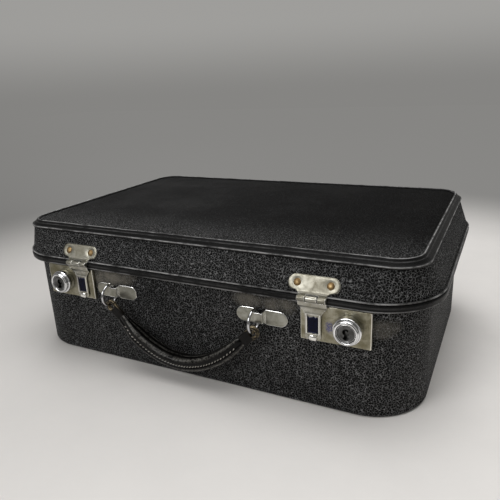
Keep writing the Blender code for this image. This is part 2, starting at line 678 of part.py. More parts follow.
def make_eye(label, side, parent):
    """Flat loop round the ring's wire with a tail that runs into the grip."""
    hole, outer, tail = 2.6 * MM, 4.7 * MM, 7.0 * MM
    end = grip_point(side)[0]
    centre = Vector((RING_X[label] - side * 1.0 * MM, -RING_Y, RING_Z - RING_MEAN - 1.1 * MM))
    to_grip = (end - centre).normalized()
    across = Vector((-to_grip.z, 0, to_grip.x))
    outside, inside = [], []
    for k in range(20):
        angle = 2 * math.pi * k / 20
        along, wide = math.cos(angle), math.sin(angle)
        inside.append(centre + hole * (to_grip * along + across * wide))
        stretch = outer + (tail if along > 0.9 else 0.0)
        outside.append(centre + to_grip * (stretch * along) + across * (outer * wide * (0.95 if along > 0.7 else 1.0)))
    half = Vector((0, 1.4 * MM, 0))
    loop = [[p - half for p in inside], [p - half for p in outside], [p + half for p in outside],
            [p + half for p in inside]]
    solid("handle_eye_" + label, [loop], "worn_leather", parent, closed=True)


def make_handle(walls):
    """Brackets, rings, eyes and the grip, and the slots for the brackets' prongs."""
    swing = joint("handle_swing", (0, -RING_Y, RING_Z))
    slots = []
    for label, side in (("left", -1), ("right", 1)):
        make_bracket(label, slots)
        turn = joint("ring_turn_" + label, (RING_X[label], -RING_Y, RING_Z))
        make_ring(label, turn)
        make_eye(label, side, swing)
    drill(walls, slots)
    solid("handle_front_leather", [grip_rings(half_section(-1), 0.97, 22)], "handle_leather", swing)
    solid("handle_back_leather", [grip_rings(half_section(1), 0.97, 22)], "handle_leather", swing)
    room = LEATHER + GAP
    core = [((GRIP_IN_PLANE - room) * math.cos(t), (GRIP_DEPTH - room) * math.sin(t))
            for t in (2 * math.pi * k / 10 for k in range(10))]
    solid("handle_core", [grip_rings(core, 0.72, 14)], "board", swing)


def main():
    for old in list(bpy.data.objects):
        bpy.data.objects.remove(old, do_unlink=True)
    lid = joint("lid_hinge", (0, KNUCKLE_Y, LID_AXIS_Z))
    base_walls = make_base()
    lid_walls = make_lid(lid)
    make_hinges(lid, None, lid_walls)
    make_leaf_rivets(None, base_walls)
    for label in HASP_X:
        swing = joint("hasp_swing_" + label, (HASP_X[label], -KNUCKLE_Y, HASP_AXIS_Z))
        make_hasp(label, swing)
    make_locks(base_walls)
    make_handle(base_walls)


main()
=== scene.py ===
import math
import random

import bmesh
import bpy
from mathutils import Matrix, Vector, noise


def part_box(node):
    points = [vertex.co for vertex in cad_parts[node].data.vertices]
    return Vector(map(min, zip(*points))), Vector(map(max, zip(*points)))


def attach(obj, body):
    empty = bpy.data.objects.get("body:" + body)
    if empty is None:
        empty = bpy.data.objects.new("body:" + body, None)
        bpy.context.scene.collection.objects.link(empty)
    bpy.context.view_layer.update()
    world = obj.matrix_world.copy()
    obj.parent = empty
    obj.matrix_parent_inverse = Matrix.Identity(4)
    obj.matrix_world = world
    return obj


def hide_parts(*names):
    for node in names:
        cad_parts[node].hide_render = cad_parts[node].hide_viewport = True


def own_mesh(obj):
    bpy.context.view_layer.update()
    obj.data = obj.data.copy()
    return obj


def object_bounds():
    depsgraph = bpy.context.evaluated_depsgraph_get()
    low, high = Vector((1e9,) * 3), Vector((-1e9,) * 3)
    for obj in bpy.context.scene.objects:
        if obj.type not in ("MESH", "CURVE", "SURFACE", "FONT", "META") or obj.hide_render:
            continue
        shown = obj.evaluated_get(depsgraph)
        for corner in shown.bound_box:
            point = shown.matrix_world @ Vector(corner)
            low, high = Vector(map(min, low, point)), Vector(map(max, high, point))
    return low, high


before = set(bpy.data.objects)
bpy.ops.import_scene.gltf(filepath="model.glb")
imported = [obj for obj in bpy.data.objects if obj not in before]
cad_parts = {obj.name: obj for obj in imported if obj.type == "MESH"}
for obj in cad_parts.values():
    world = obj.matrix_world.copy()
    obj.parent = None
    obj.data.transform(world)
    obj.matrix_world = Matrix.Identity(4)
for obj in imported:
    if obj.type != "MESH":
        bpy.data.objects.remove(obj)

CAD_BOX = [list(corner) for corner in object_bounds()]
MM = 0.001
SIDES = (("left", -1), ("right", 1))
IDENTITY = Matrix.Identity(4)
BACK = Matrix.Rotation(math.pi, 4, "Z")


# ---------------------------------------------------------------- materials

class Graph:
    """Builds one node material round a Principled shader."""

    def __init__(self, name):
        self.material = bpy.data.materials.new(name)
        self.material.use_nodes = True
        self.tree = self.material.node_tree
        self.shader = self.tree.nodes["Principled BSDF"]
        self.place = self.node("TexCoord", {}, out="Object")

    def node(self, kind, inputs, out=0, **props):
        made = self.tree.nodes.new("ShaderNode" + kind)
        for key, value in props.items():
            setattr(made, key, value)
        for key, value in inputs.items():
            if isinstance(value, bpy.types.NodeSocket):
                self.tree.links.new(value, made.inputs[key])
            else:
                made.inputs[key].default_value = value
        return made.outputs[out]

    def stretch(self, scale, source=None):
        return self.node("Mapping", {0: source or self.place, 3: scale})

    def noise(self, scale, detail=4.0, rough=0.55, distort=0.0, source=None):
        return self.node("TexNoise", {"Vector": source or self.place, "Scale": scale, "Detail": detail,
                                      "Roughness": rough, "Distortion": distort})

    def cells(self, scale, source=None, feature="DISTANCE_TO_EDGE"):
        return self.node("TexVoronoi", {"Vector": source or self.place, "Scale": scale},
                         out="Distance", feature=feature)

    def jitter(self, amount, scale):
        """The object coordinates shifted about by a coloured noise."""
        cloud = self.node("TexNoise", {"Vector": self.place, "Scale": scale, "Detail": 3.0}, out="Color")
        centred = self.node("VectorMath", {0: cloud, 1: (0.5, 0.5, 0.5)}, operation="SUBTRACT")
        scaled = self.node("VectorMath", {0: centred, 3: amount}, operation="SCALE")
        return self.node("VectorMath", {0: self.place, 1: scaled}, operation="ADD")

    def math(self, operation, a, b=0.0):
        return self.node("Math", {0: a, 1: b}, operation=operation)

    def remap(self, value, low, high, to_low=0.0, to_high=1.0):
        return self.node("MapRange", {0: value, 1: low, 2: high, 3: to_low, 4: to_high},
                         interpolation_type="SMOOTHSTEP")

    def blend(self, share, a, b):
        return self.node("Mix", {0: share, 6: a, 7: b}, out=2, data_type="RGBA")

    def wear(self):
        return self.node("Attribute", {}, out="Fac", attribute_name="wear")

    def bump(self, height, strength, distance, under=None):
        inputs = {"Height": height, "Strength": strength, "Distance": distance}
        if under is not None:
            inputs["Normal"] = under
        return self.node("Bump", inputs)

    def finish(self, colour, roughness, normal=None, **fixed):
        for key, value in (("Base Color", colour), ("Roughness", roughness), ("Normal", normal)):
            if isinstance(value, bpy.types.NodeSocket):
                self.tree.links.new(value, self.shader.inputs[key])
            elif value is not None:
                self.shader.inputs[key].default_value = value
        for key, value in fixed.items():
            self.shader.inputs[key.replace("_", " ")].default_value = value
        return self.material


def grey(value, warm=0.0):
    return (value * (1 + warm), value, value * (1 - warm), 1.0)


def leatherette(name, rubs=()):
    """Black coated cloth with a crackled grain: thin crooked ridges round small sunk cells."""
    g = Graph(name)
    bent = g.jitter(0.0009, 700.0)
    ridges = g.remap(g.cells(600.0, bent), 0.0, 0.11, 1.0, 0.0)
    broken = g.remap(g.noise(800.0, 3.0, 0.6), 0.32, 0.56, 0.08, 1.0)
    relief = g.math("MULTIPLY", ridges, broken)
    patches = g.remap(g.noise(9.0, 5.0, 0.6), 0.3, 0.72)
    dark = g.blend(patches, grey(0.0010), grey(0.0030, 0.03))
    # ridges painted pale: partly real rubbed grey, partly a painted highlight standing in for the glint
    # along the ridges
    light = g.blend(patches, grey(0.13, -0.02), grey(0.25))
    colour = g.blend(g.remap(relief, 0.05, 0.9), dark, light)
    specks = g.remap(g.cells(130.0, feature="F1"), 0.0, 0.075, 1.0, 0.0)
    rare = g.remap(g.noise(34.0, 1.0), 0.66, 0.70)
    colour = g.blend(g.math("MULTIPLY", g.math("MULTIPLY", specks, rare), 0.5), colour, grey(0.16, 0.06))
    colour = g.blend(g.math("MULTIPLY", g.wear(), g.remap(g.noise(160.0, 4.0), 0.35, 0.7)), colour,
                     grey(0.05))
    dust = g.remap(g.noise(150.0, 5.0, 0.7), 0.25, 0.7, 0.25, 1.0)
    for centre, reach, share in rubs:
        offset = g.node("VectorMath", {0: g.jitter(0.006, 60.0), 1: centre}, operation="SUBTRACT")
        far = g.node("VectorMath", {0: g.stretch((1.0, 0.2, 1.7), offset)}, out="Value", operation="LENGTH")
        patch = g.math("MULTIPLY", g.remap(far, 0.35 * reach, reach, share, 0.0), dust)
        colour = g.blend(patch, colour, (0.20, 0.185, 0.155, 1.0))
    rough = g.remap(g.math("ADD", relief, g.math("MULTIPLY", patches, -0.35)), 0.0, 1.0, 0.66, 0.40)
    fine = g.bump(g.noise(2600.0, 3.0, 0.7), 0.25, 0.00008)
    return g.finish(colour, rough, g.bump(relief, 1.0, 0.00035, fine), Specular_IOR_Level=0.14)


def smooth_top():
    """The lid's top: the same cloth rubbed nearly flat, with scratches, and greyer towards the front edge
    as a painted sheen.
    """
    g = Graph("leatherette_top")
    bent = g.jitter(0.0009, 700.0)
    ridges = g.remap(g.cells(660.0, bent), 0.0, 0.12, 1.0, 0.0)
    broken = g.remap(g.noise(900.0, 3.0, 0.6), 0.42, 0.62)
    relief = g.math("MULTIPLY", ridges, broken)
    long_cloud = g.noise(1.0, 2.0, 0.5, source=g.stretch((60.0, 900.0, 60.0)))
    cross_cloud = g.noise(1.0, 2.0, 0.5, source=g.stretch((700.0, 45.0, 60.0)))
    scratches = g.math("MAXIMUM", g.remap(long_cloud, 0.70, 0.74), g.remap(cross_cloud, 0.72, 0.76))
    patches = g.remap(g.noise(14.0, 5.0, 0.6), 0.32, 0.7)
    depth = g.node("SeparateXYZ", {0: g.place}, out="Y")
    # painted sheen: the colour lighter towards the front edge and darker towards the back
    handled = g.remap(depth, -0.112, -0.035, 1.0, 0.0)
    dark = g.blend(patches, grey(0.0010), grey(0.0024))
    # ridges painted paler towards the front, part of the same painted sheen
    ridge = g.blend(handled, grey(0.030), grey(0.19))
    colour = g.blend(relief, g.blend(handled, dark, grey(0.0050)), ridge)
    colour = g.blend(g.math("MULTIPLY", scratches, 0.22), colour, grey(0.05))
    rough = g.remap(patches, 0.0, 1.0, 0.74, 0.64)
    fine = g.bump(g.noise(2600.0, 3.0, 0.7), 0.2, 0.00006)
    return g.finish(colour, rough, g.bump(relief, 0.7, 0.0002, fine), Specular_IOR_Level=0.03)


def edge_cloth():
    """Binding: smoother black strip, polished along its ridges and greyed there, partly by real rubbing and
    partly as painted highlight lines.
    """
    g = Graph("edge_binding")
    bent = g.jitter(0.0012, 300.0)
    grain = g.remap(g.cells(800.0, bent), 0.0, 0.22, 1.0, 0.0)
    clouds = g.remap(g.noise(130.0, 5.0, 0.65), 0.36, 0.68)
    # ridge mask: real rubbing and painted highlight lines along the ridges
    rubbed = g.math("MULTIPLY", g.wear(), g.remap(g.noise(75.0, 5.0, 0.75), 0.36, 0.62, 0.10, 1.0))
    colour = g.blend(g.math("MULTIPLY", grain, 0.5), grey(0.0018), grey(0.014))
    colour = g.blend(g.math("MULTIPLY", clouds, 0.25), colour, grey(0.008, 0.04))
    # the ridges painted grey: rubbed colour and painted highlight together
    colour = g.blend(rubbed, colour, grey(0.30, 0.01))
    rough = g.remap(rubbed, 0.0, 1.0, 0.40, 0.22)
    return g.finish(colour, rough, g.bump(g.math("ADD", grain, clouds), 0.35, 0.00016),
                    Specular_IOR_Level=0.10)


def metal(name, base, stain, edge, rough, stain_share=0.5, spots=0.3, smudge=None):
    """Plated or bare metal: cloudy tarnish, fine scratches, pits, and edges rubbed bright."""
    g = Graph(name)
    cloud = g.remap(g.noise(150.0, 6.0, 0.65, 0.4), 0.5 - 0.28 * stain_share, 0.86 - 0.22 * stain_share)
    drift = g.remap(g.noise(42.0, 3.0, 0.5), 0.35, 0.68)
    pits = g.remap(g.cells(900.0, feature="F1"), 0.05, 0.22, 1.0, 0.0)
    pits = g.math("MULTIPLY", pits, g.remap(g.noise(210.0, 2.0), 0.52, 0.66, 0.0, spots))
    brush = g.noise(1.0, 3.0, 0.6, source=g.stretch((160.0, 900.0, 2600.0)))
    hair = g.noise(1.0, 2.0, 0.5, source=g.stretch((2400.0, 500.0, 260.0)))
    lines = g.math("MAXIMUM", g.remap(brush, 0.62, 0.68), g.remap(hair, 0.66, 0.72))
    tone = g.blend(drift, base, tuple(0.5 * (b + s) for b, s in zip(base, stain)))
    colour = g.blend(cloud, tone, stain)
    colour = g.blend(pits, colour, tuple(0.18 * s for s in stain[:3]) + (1.0,))
    rubbed = g.remap(g.wear(), 0.35, 0.95)
    colour = g.blend(rubbed, colour, edge)
    if smudge:
        centre, spread, tint = smudge
        offset = g.node("VectorMath", {0: g.jitter(0.0025, 700.0), 1: centre}, operation="SUBTRACT")
        far = g.node("VectorMath", {0: g.stretch((1.3, 0.2, 0.8), offset)}, out="Value", operation="LENGTH")
        patch = g.math("MULTIPLY", g.remap(far, 0.35 * spread, spread, 1.0, 0.0),
                       g.remap(g.noise(900.0, 3.0, 0.6), 0.35, 0.6, 0.2, 0.85))
        colour = g.blend(patch, colour, tint)
    dull = g.math("ADD", g.math("MULTIPLY", cloud, 0.16), g.math("MULTIPLY", pits, 0.3))
    roughness = g.math("ADD", g.math("ADD", dull, g.math("MULTIPLY", lines, 0.06)), rough)
    polished = g.math("SUBTRACT", roughness, g.math("MULTIPLY", rubbed, 0.10))
    relief = g.math("SUBTRACT", g.math("MULTIPLY", g.noise(300.0, 4.0, 0.6), 0.5),
                    g.math("ADD", g.math("MULTIPLY", lines, 0.2), g.math("MULTIPLY", pits, 0.8)))
    return g.finish(colour, polished, g.bump(relief, 0.18, 0.0001), Metallic=1.0)


def gloss_leather():
    """Handle leather: dark, waxed by use, creased across."""
    g = Graph("handle_leather")
    pores = g.remap(g.cells(1500.0, g.jitter(0.0008, 700.0)), 0.0, 0.25, 1.0, 0.0)
    creases = g.noise(420.0, 5.0, 0.65, 1.2)
    relief = g.math("ADD", g.math("MULTIPLY", pores, 0.35), creases)
    clouds = g.remap(g.noise(90.0, 4.0, 0.6), 0.35, 0.68)
    colour = g.blend(clouds, grey(0.0008), grey(0.0024, 0.10))
    # edges greyed: partly real rubbing, partly painted highlight streaks along the edges
    colour = g.blend(g.math("MULTIPLY", g.wear(), g.remap(creases, 0.40, 0.58, 0.05, 1.0)), colour,
                     (0.12, 0.115, 0.105, 1.0))
    rough = g.remap(creases, 0.32, 0.7, 0.13, 0.26)
    return g.finish(colour, rough, g.bump(relief, 0.16, 0.00012), Specular_IOR_Level=0.13)


def worn_eye():
    """Handle eyes: black leather rubbed to a brassy tan in patches round the hole and along its edges."""
    g = Graph("worn_eye")
    rubs = g.remap(g.noise(520.0, 5.0, 0.7), 0.44, 0.60)
    share = g.math("MULTIPLY", g.remap(g.wear(), 0.25, 0.95), g.math("ADD", g.math("MULTIPLY", rubs, 0.9),
                                                                     0.06))
    tan = g.blend(g.remap(g.noise(1300.0, 3.0), 0.4, 0.6), (0.20, 0.145, 0.075, 1), (0.46, 0.39, 0.26, 1))
    colour = g.blend(share, (0.0045, 0.004, 0.0035, 1), tan)
    relief = g.math("SUBTRACT", g.noise(900.0, 5.0, 0.7), g.math("MULTIPLY", share, 0.5))
    return g.finish(colour, g.remap(share, 0.0, 1.0, 0.30, 0.55), g.bump(relief, 0.6, 0.00025),
                    Specular_IOR_Level=0.12)


def lining_cloth():
    """Buff paper-backed cotton: a fine plain weave, foxed and handled."""
    g = Graph("lining_cloth")
    waves = []
    for axis in ("X", "Y", "Z"):
        waves.append(g.node("TexWave", {"Vector": g.place, "Scale": 420.0, "Distortion": 0.6, "Detail": 1.0,
                                        "Detail Scale": 3.0}, out="Fac", wave_type="BANDS",
                            bands_direction=axis, wave_profile="SIN"))
    weave = g.math("MULTIPLY", g.math("ADD", g.math("ADD", waves[0], waves[1]), waves[2]), 0.34)
    slubs = g.noise(1.0, 3.0, 0.6, source=g.stretch((90.0, 900.0, 900.0)))
    foxing = g.remap(g.noise(22.0, 6.0, 0.7), 0.50, 0.78)
    colour = g.blend(g.remap(slubs, 0.35, 0.7), (0.235, 0.195, 0.145, 1), (0.315, 0.27, 0.205, 1))
    colour = g.blend(g.math("MULTIPLY", weave, 0.35), colour, (0.15, 0.12, 0.085, 1))
    colour = g.blend(g.math("MULTIPLY", foxing, 0.45), colour, (0.155, 0.105, 0.06, 1))
    return g.finish(colour, 0.86, g.bump(g.math("ADD", weave, slubs), 0.4, 0.00025), Sheen_Weight=0.25)


def fibre_board():
    """Grey-brown pressed board with fibres and edge layers."""
    g = Graph("fibre_board")
    layers = g.noise(1.0, 4.0, 0.6, source=g.stretch((70.0, 70.0, 1500.0)))
    flecks = g.remap(g.noise(900.0, 4.0, 0.7), 0.55, 0.72)
    colour = g.blend(g.remap(layers, 0.3, 0.7), (0.20, 0.135, 0.08, 1), (0.32, 0.235, 0.15, 1))
    colour = g.blend(g.math("MULTIPLY", flecks, 0.5), colour, (0.10, 0.07, 0.045, 1))
    return g.finish(colour, g.remap(layers, 0.3, 0.7, 0.78, 0.92), g.bump(g.math("ADD", layers, flecks),
                                                                          0.4, 0.0002))


def blue_film():
    """Remnant of dark blue protective film, wrinkled, thin towards its torn edge."""
    g = Graph("blue_film")
    folds = g.noise(600.0, 5.0, 0.7, 1.5)
    thin = g.remap(g.wear(), 0.2, 1.0)
    colour = g.blend(g.remap(folds, 0.35, 0.7), (0.0010, 0.0013, 0.005, 1), (0.004, 0.0055, 0.028, 1))
    colour = g.blend(g.math("MULTIPLY", thin, g.remap(folds, 0.4, 0.55)), colour, (0.05, 0.055, 0.13, 1))
    return g.finish(colour, g.remap(folds, 0.3, 0.7, 0.32, 0.6), g.bump(folds, 0.6, 0.0003),
                    Specular_IOR_Level=0.12)


def waxed_thread():
    g = Graph("waxed_thread")
    twist = g.noise(1.0, 2.0, 0.5, source=g.stretch((2600.0, 900.0, 1600.0)))
    colour = g.blend(g.remap(twist, 0.35, 0.65), (0.16, 0.148, 0.13, 1), (0.50, 0.47, 0.42, 1))
    return g.finish(colour, g.remap(twist, 0.3, 0.7, 0.35, 0.6), g.bump(twist, 0.6, 0.0002))


BACKDROP = (-0.5, 0.8, 0.11, 0.235)
BACKDROP_TINT = (1.0, 0.985, 0.95, 1.0)


def studio_floor():
    """Pale plaster round the case, darker to the left and lighter to the right as painted light, fading
    with distance into a painted glow in the tone of the backdrop.
    """
    g = Graph("studio_floor")
    plaster = g.noise(22.0, 6.0, 0.6)
    across = g.node("SeparateXYZ", {0: g.place}, out="X")
    # painted light: the floor darker to the left and lighter to the right
    colour = g.blend(g.remap(across, -0.30, 0.25), grey(0.50, 0.03), grey(0.78, 0.03))
    colour = g.blend(g.remap(plaster, 0.3, 0.7, 0.0, 0.06), colour, grey(0.40))
    far = g.node("VectorMath", {0: g.place}, out="Value", operation="LENGTH")
    fade = g.remap(far, 0.27, 0.62)
    colour = g.blend(fade, colour, grey(0.01))
    heading = g.node("VectorMath", {0: g.place}, operation="NORMALIZE")
    depth = g.node("SeparateXYZ", {0: heading}, out="Y")
    # painted glow: the far floor is darkened and emits light in the backdrop's tone
    glow = g.math("MULTIPLY", g.remap(depth, *BACKDROP), fade)
    g.tree.links.new(glow, g.shader.inputs["Emission Strength"])
    return g.finish(colour, g.remap(plaster, 0.3, 0.7, 0.75, 0.85), g.bump(g.noise(240.0, 5.0, 0.6), 0.1,
                                                                           0.001),
                    Emission_Color=BACKDROP_TINT, Specular_IOR_Level=0.0)


RUBS = (((-0.0735, -0.1105, 0.0700), 0.019, 1.0), ((-0.0560, -0.1105, 0.0730), 0.015, 0.7),
        ((0.0500, -0.1105, 0.0715), 0.014, 0.75), ((0.0730, -0.1105, 0.0715), 0.016, 0.60),
        ((0.1405, -0.1105, 0.0640), 0.013, 0.5))
GRAIN = leatherette("leatherette_side")
GRAIN_RUBBED = leatherette("leatherette_side_rubbed", RUBS)
TOP = smooth_top()
BINDING = edge_cloth()
NICKEL = metal("aged_nickel", (0.33, 0.32, 0.275, 1), (0.19, 0.175, 0.13, 1), (0.86, 0.85, 0.79, 1), 0.36,
               0.5, 0.8)
PLATE_FINISH = ((0.47, 0.45, 0.365, 1), (0.215, 0.195, 0.125, 1), (0.84, 0.81, 0.72, 1), 0.34, 0.8)
PLATE = metal("plate_nickel", *PLATE_FINISH)
BRIGHT = metal("bright_nickel", (0.50, 0.49, 0.44, 1), (0.27, 0.255, 0.20, 1), (0.90, 0.89, 0.85, 1),
               0.27, 0.55)
BRACKET = metal("bracket_nickel", (0.42, 0.415, 0.37, 1), (0.24, 0.235, 0.19, 1), (0.92, 0.92, 0.90, 1),
                0.30, 0.5)
CHROME = metal("chrome", (0.60, 0.605, 0.62, 1), (0.36, 0.36, 0.36, 1), (0.92, 0.92, 0.92, 1), 0.09, 0.1,
               0.15)
PLUG = metal("worn_chrome", (0.17, 0.17, 0.175, 1), (0.055, 0.055, 0.05, 1), (0.85, 0.85, 0.85, 1), 0.20,
             0.6, 0.3)
BRASS = metal("rivet_brass", (0.36, 0.25, 0.115, 1), (0.155, 0.095, 0.045, 1), (0.50, 0.37, 0.19, 1),
              0.42, 0.9)
STEEL = metal("bare_steel", (0.42, 0.42, 0.43, 1), (0.20, 0.16, 0.12, 1), (0.62, 0.62, 0.62, 1), 0.32, 0.5)
HANDLE = gloss_leather()
EYE = worn_eye()
LINING = lining_cloth()
BOARD = fibre_board()
FILM = blue_film()
THREAD = waxed_thread()


# ---------------------------------------------------------------- mesh building

def smooth(value):
    value = min(1.0, max(0.0, value))
    return value * value * (3 - 2 * value)


def mix(a, b, share):
    return a + (b - a) * share


def rounded(edge):
    """Quarter-circle rise from 0 at the edge to 1."""
    return math.sqrt(max(0.0, 1 - (1 - edge) ** 2))


def mirrored(half):
    """Columns from -1 to 0 and their mirror images."""
    return half + [-c for c in half[-2::-1]]


def disc(centre, u, v, radius, count):
    return [centre + (u * math.cos(a) + v * math.sin(a)) * radius
            for a in (2 * math.pi * n / count for n in range(count))]


def along(table, value):
    """Straight interpolation in a table of (place, amounts...) rows."""
    if value <= table[0][0]:
        return table[0][1:]
    for low, high in zip(table, table[1:]):
        if value <= high[0]:
            share = (value - low[0]) / (high[0] - low[0])
            return tuple(mix(a, b, share) for a, b in zip(low[1:], high[1:]))
    return table[-1][1:]


class Shape:
    """Collects closed bodies in one mesh, with a share of edge wear on each vertex; some finishes also
    paint highlights from that share.
    """

    def __init__(self):
        self.mesh = bmesh.new()
        self.wear = self.mesh.verts.layers.float.new("wear")

    def row(self, points, wear):
        made = []
        for k, point in enumerate(points):
            vertex = self.mesh.verts.new(point)
            vertex[self.wear] = wear[k] if isinstance(wear, (list, tuple)) else wear
            made.append(vertex)
        return made

    def loft(self, rings, wear=None, wrap=False, caps=True):
        """Skins equal rings; wrap joins the last to the first."""
        wear = wear or [0.0] * len(rings)
        rows = [self.row(ring, w) for ring, w in zip(rings, wear)]
        pairs = list(zip(rows, rows[1:]))
        if wrap:
            pairs.append((rows[-1], rows[0]))
        made = []
        count = len(rows[0])
        for low, high in pairs:
            for k in range(count):
                after = (k + 1) % count
                made.append(self.mesh.faces.new((low[k], low[after], high[after], high[k])))
        if caps and not wrap:
            made.append(self.mesh.faces.new(rows[0][::-1]))
            made.append(self.mesh.faces.new(rows[-1]))
        bmesh.ops.recalc_face_normals(self.mesh, faces=made)
        return rows

    def lathe(self, profile, centre, axis, sides, wear=None, turn=IDENTITY):
        """Turned body from (distance, radius) rows along an axis."""
        axis = Vector(axis).normalized()
        u = axis.orthogonal().normalized()
        v = axis.cross(u)
        rings = []
        for distance, radius in profile:
            ring = []
            for k in range(sides):
                angle = 2 * math.pi * k / sides
                ring.append(turn @ (Vector(centre) + axis * distance
                                    + (u * math.cos(angle) + v * math.sin(angle)) * radius))
            rings.append(ring)
        return self.loft(rings, wear)

    def sheet(self, rows, thick, front, skip=None, wear=None):
        """A pressed sheet: a grid of front points, given thickness away from the front side."""
        grid = [self.row(row, 0.0) for row in rows]
        faces = []
        for i in range(len(grid) - 1):
            for j in range(len(grid[0]) - 1):
                if skip and skip(i, j):
                    continue
                faces.append(self.mesh.faces.new((grid[i][j], grid[i][j + 1], grid[i + 1][j + 1],
                                                  grid[i + 1][j])))
        self.mesh.normal_update()
        total = Vector()
        for face in faces:
            total += face.normal * face.calc_area()
        if total.dot(Vector(front)) < 0:
            bmesh.ops.reverse_faces(self.mesh, faces=faces)
            self.mesh.normal_update()
        used = {v for face in faces for v in face.verts}
        edges = [e for e in {e for face in faces for e in face.edges} if len(e.link_faces) == 1]
        twins = {}
        for vertex in used:
            twins[vertex] = self.mesh.verts.new(vertex.co - vertex.normal * thick)
        for edge in edges:
            for vertex in edge.verts:
                vertex[self.wear] = 1.0
                twins[vertex][self.wear] = 0.6
        for face in faces:
            self.mesh.faces.new([twins[v] for v in reversed(face.verts)])
        for edge in edges:
            a, b = edge.verts
            loop = edge.link_faces[0]
            order = [v for v in loop.verts if v in (a, b)]
            corners = list(loop.verts)
            if corners.index(order[0]) == 0 and corners.index(order[1]) == len(corners) - 1:
                order.reverse()
            first, second = order
            self.mesh.faces.new((second, first, twins[first], twins[second]))
        for vertex in [v for row in grid for v in row if not v.link_faces]:
            self.mesh.verts.remove(vertex)
        if wear:
            for vertex in used:
                vertex[self.wear] = max(vertex[self.wear], wear(vertex.co))
        return grid

    def wobble(self, amount, size, keep=None):
        """Slight unevenness of a hand-covered surface."""
        self.mesh.normal_update()
        moves = []
        for vertex in self.mesh.verts:
            share = keep(vertex.co) if keep else 1.0
            moves.append((vertex, vertex.normal * (amount * share * noise.noise(vertex.co / size))))
        for vertex, move in moves:
            vertex.co += move

    def done(self, name, finish, body, stands_for=(), bevel=0.0, angle=35, cutters=()):
        mesh = bpy.data.meshes.new(name)
        bmesh.ops.recalc_face_normals(self.mesh, faces=self.mesh.faces)
        self.mesh.to_mesh(mesh)
        self.mesh.free()
        mesh.shade_smooth()
        mesh.set_sharp_from_angle(angle=math.radians(angle))
        made = bpy.data.objects.new(name, mesh)
        bpy.context.collection.objects.link(made)
        for extra in finish if isinstance(finish, (list, tuple)) else (finish,):
            mesh.materials.append(extra)
        for cutter in cutters:
            step = made.modifiers.new("cut", "BOOLEAN")
            step.object, step.operation, step.solver = cutter, "DIFFERENCE", "EXACT"
        if cutters:
            flatten(made)
            for cutter in cutters:
                bpy.data.objects.remove(cutter, do_unlink=True)
        if bevel:
            step = made.modifiers.new("edges", "BEVEL")
            step.width, step.segments, step.limit_method = bevel, 3, "ANGLE"
            step.angle_limit = math.radians(50)
        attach(made, body)
        if stands_for:
            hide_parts(*stands_for)
        return made


def flatten(made):
    """Replaces an object's mesh by its modifiers' result."""
    graph = bpy.context.evaluated_depsgraph_get()
    result = bpy.data.meshes.new_from_object(made.evaluated_get(graph))
    made.modifiers.clear()
    old, made.data = made.data, result
    bpy.data.meshes.remove(old)
    made.data.shade_smooth()
    made.data.set_sharp_from_angle(angle=math.radians(35))


def cutter(rings, turn=IDENTITY):
    shape = Shape()
    shape.loft([[turn @ Vector(p) for p in ring] for ring in rings])
    mesh = bpy.data.meshes.new("cutter")
    bmesh.ops.recalc_face_normals(shape.mesh, faces=shape.mesh.faces)
    shape.mesh.to_mesh(mesh)
    shape.mesh.free()
    made = bpy.data.objects.new("cutter", mesh)
    bpy.context.collection.objects.link(made)
    made.hide_render = True
    return made


def box_rings(low, high):
    (x0, y0, z0), (x1, y1, z1) = low, high
    return [[(x0, y0, z), (x1, y0, z), (x1, y1, z), (x0, y1, z)] for z in (z0, z1)]


CORNER_STEPS, LONG_STEPS, SHORT_STEPS = 14, 40, 26


def outline(hx, hy, radius, z, inset=0.0):
    """Dense rounded rectangle, counter-clockwise, shrunk by inset."""
    hx, hy, r = hx - inset, hy - inset, max(radius - inset, 0.3 * MM)
    corners = []
    for sx, sy, start in ((1, 1, 0), (-1, 1, 90), (-1, -1, 180), (1, -1, 270)):
        arc = []
        for step in range(CORNER_STEPS + 1):
            turn = math.radians(start + 90 * step / CORNER_STEPS)
            arc.append(Vector((sx * (hx - r) + r * math.cos(turn), sy * (hy - r) + r * math.sin(turn), z)))
        corners.append(arc)
    points = []
    for n, arc in enumerate(corners):
        points += arc
        after = corners[(n + 1) % 4][0]
        steps = LONG_STEPS if n % 2 == 0 else SHORT_STEPS
        points += [arc[-1].lerp(after, k / steps) for k in range(1, steps)]
    return points


def plate_outline(x0, x1, z0, z1, radius, inset, steps=6):
    """Rounded rectangle in x and z, as (x, z) points."""
    cx, cz, hx, hz = (x0 + x1) / 2, (z0 + z1) / 2, (x1 - x0) / 2 - inset, (z1 - z0) / 2 - inset
    r = max(radius - inset, 0.1 * MM)
    points = []
    for sx, sz, start in ((1, 1, 0), (-1, 1, 90), (-1, -1, 180), (1, -1, 270)):
        for step in range(steps + 1):
            turn = math.radians(start + 90 * step / steps)
            points.append((cx + sx * (hx - r) + r * math.cos(turn),
                           cz + sz * (hz - r) + r * math.sin(turn)))
    return points


# ---------------------------------------------------------------- the case

BASE_LOW, BASE_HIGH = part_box("base_cover")
BASE = (BASE_HIGH.x, BASE_HIGH.y, 40 * MM)
RIM_Z = BASE_HIGH.z
FRONT = BASE_LOW.y
LID_LOW, LID_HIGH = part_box("lid_cover")
LID_HX, LID_HY = LID_HIGH.x, LID_HIGH.y
# height, inset of the outside, corner radius
LID_LEVELS = [(LID_LOW.z, 0.0, 42 * MM), (83.6 * MM, 0.0, 42 * MM), (103.8 * MM, 8.8 * MM, 21 * MM),
              (LID_HIGH.z, 11.8 * MM, 18 * MM)]


def lid_ring(z, inset=0.0, lift=None):
    sunk, radius = along(LID_LEVELS, z)
    return outline(LID_HX - sunk, LID_HY - sunk, radius, z if lift is None else lift, inset)


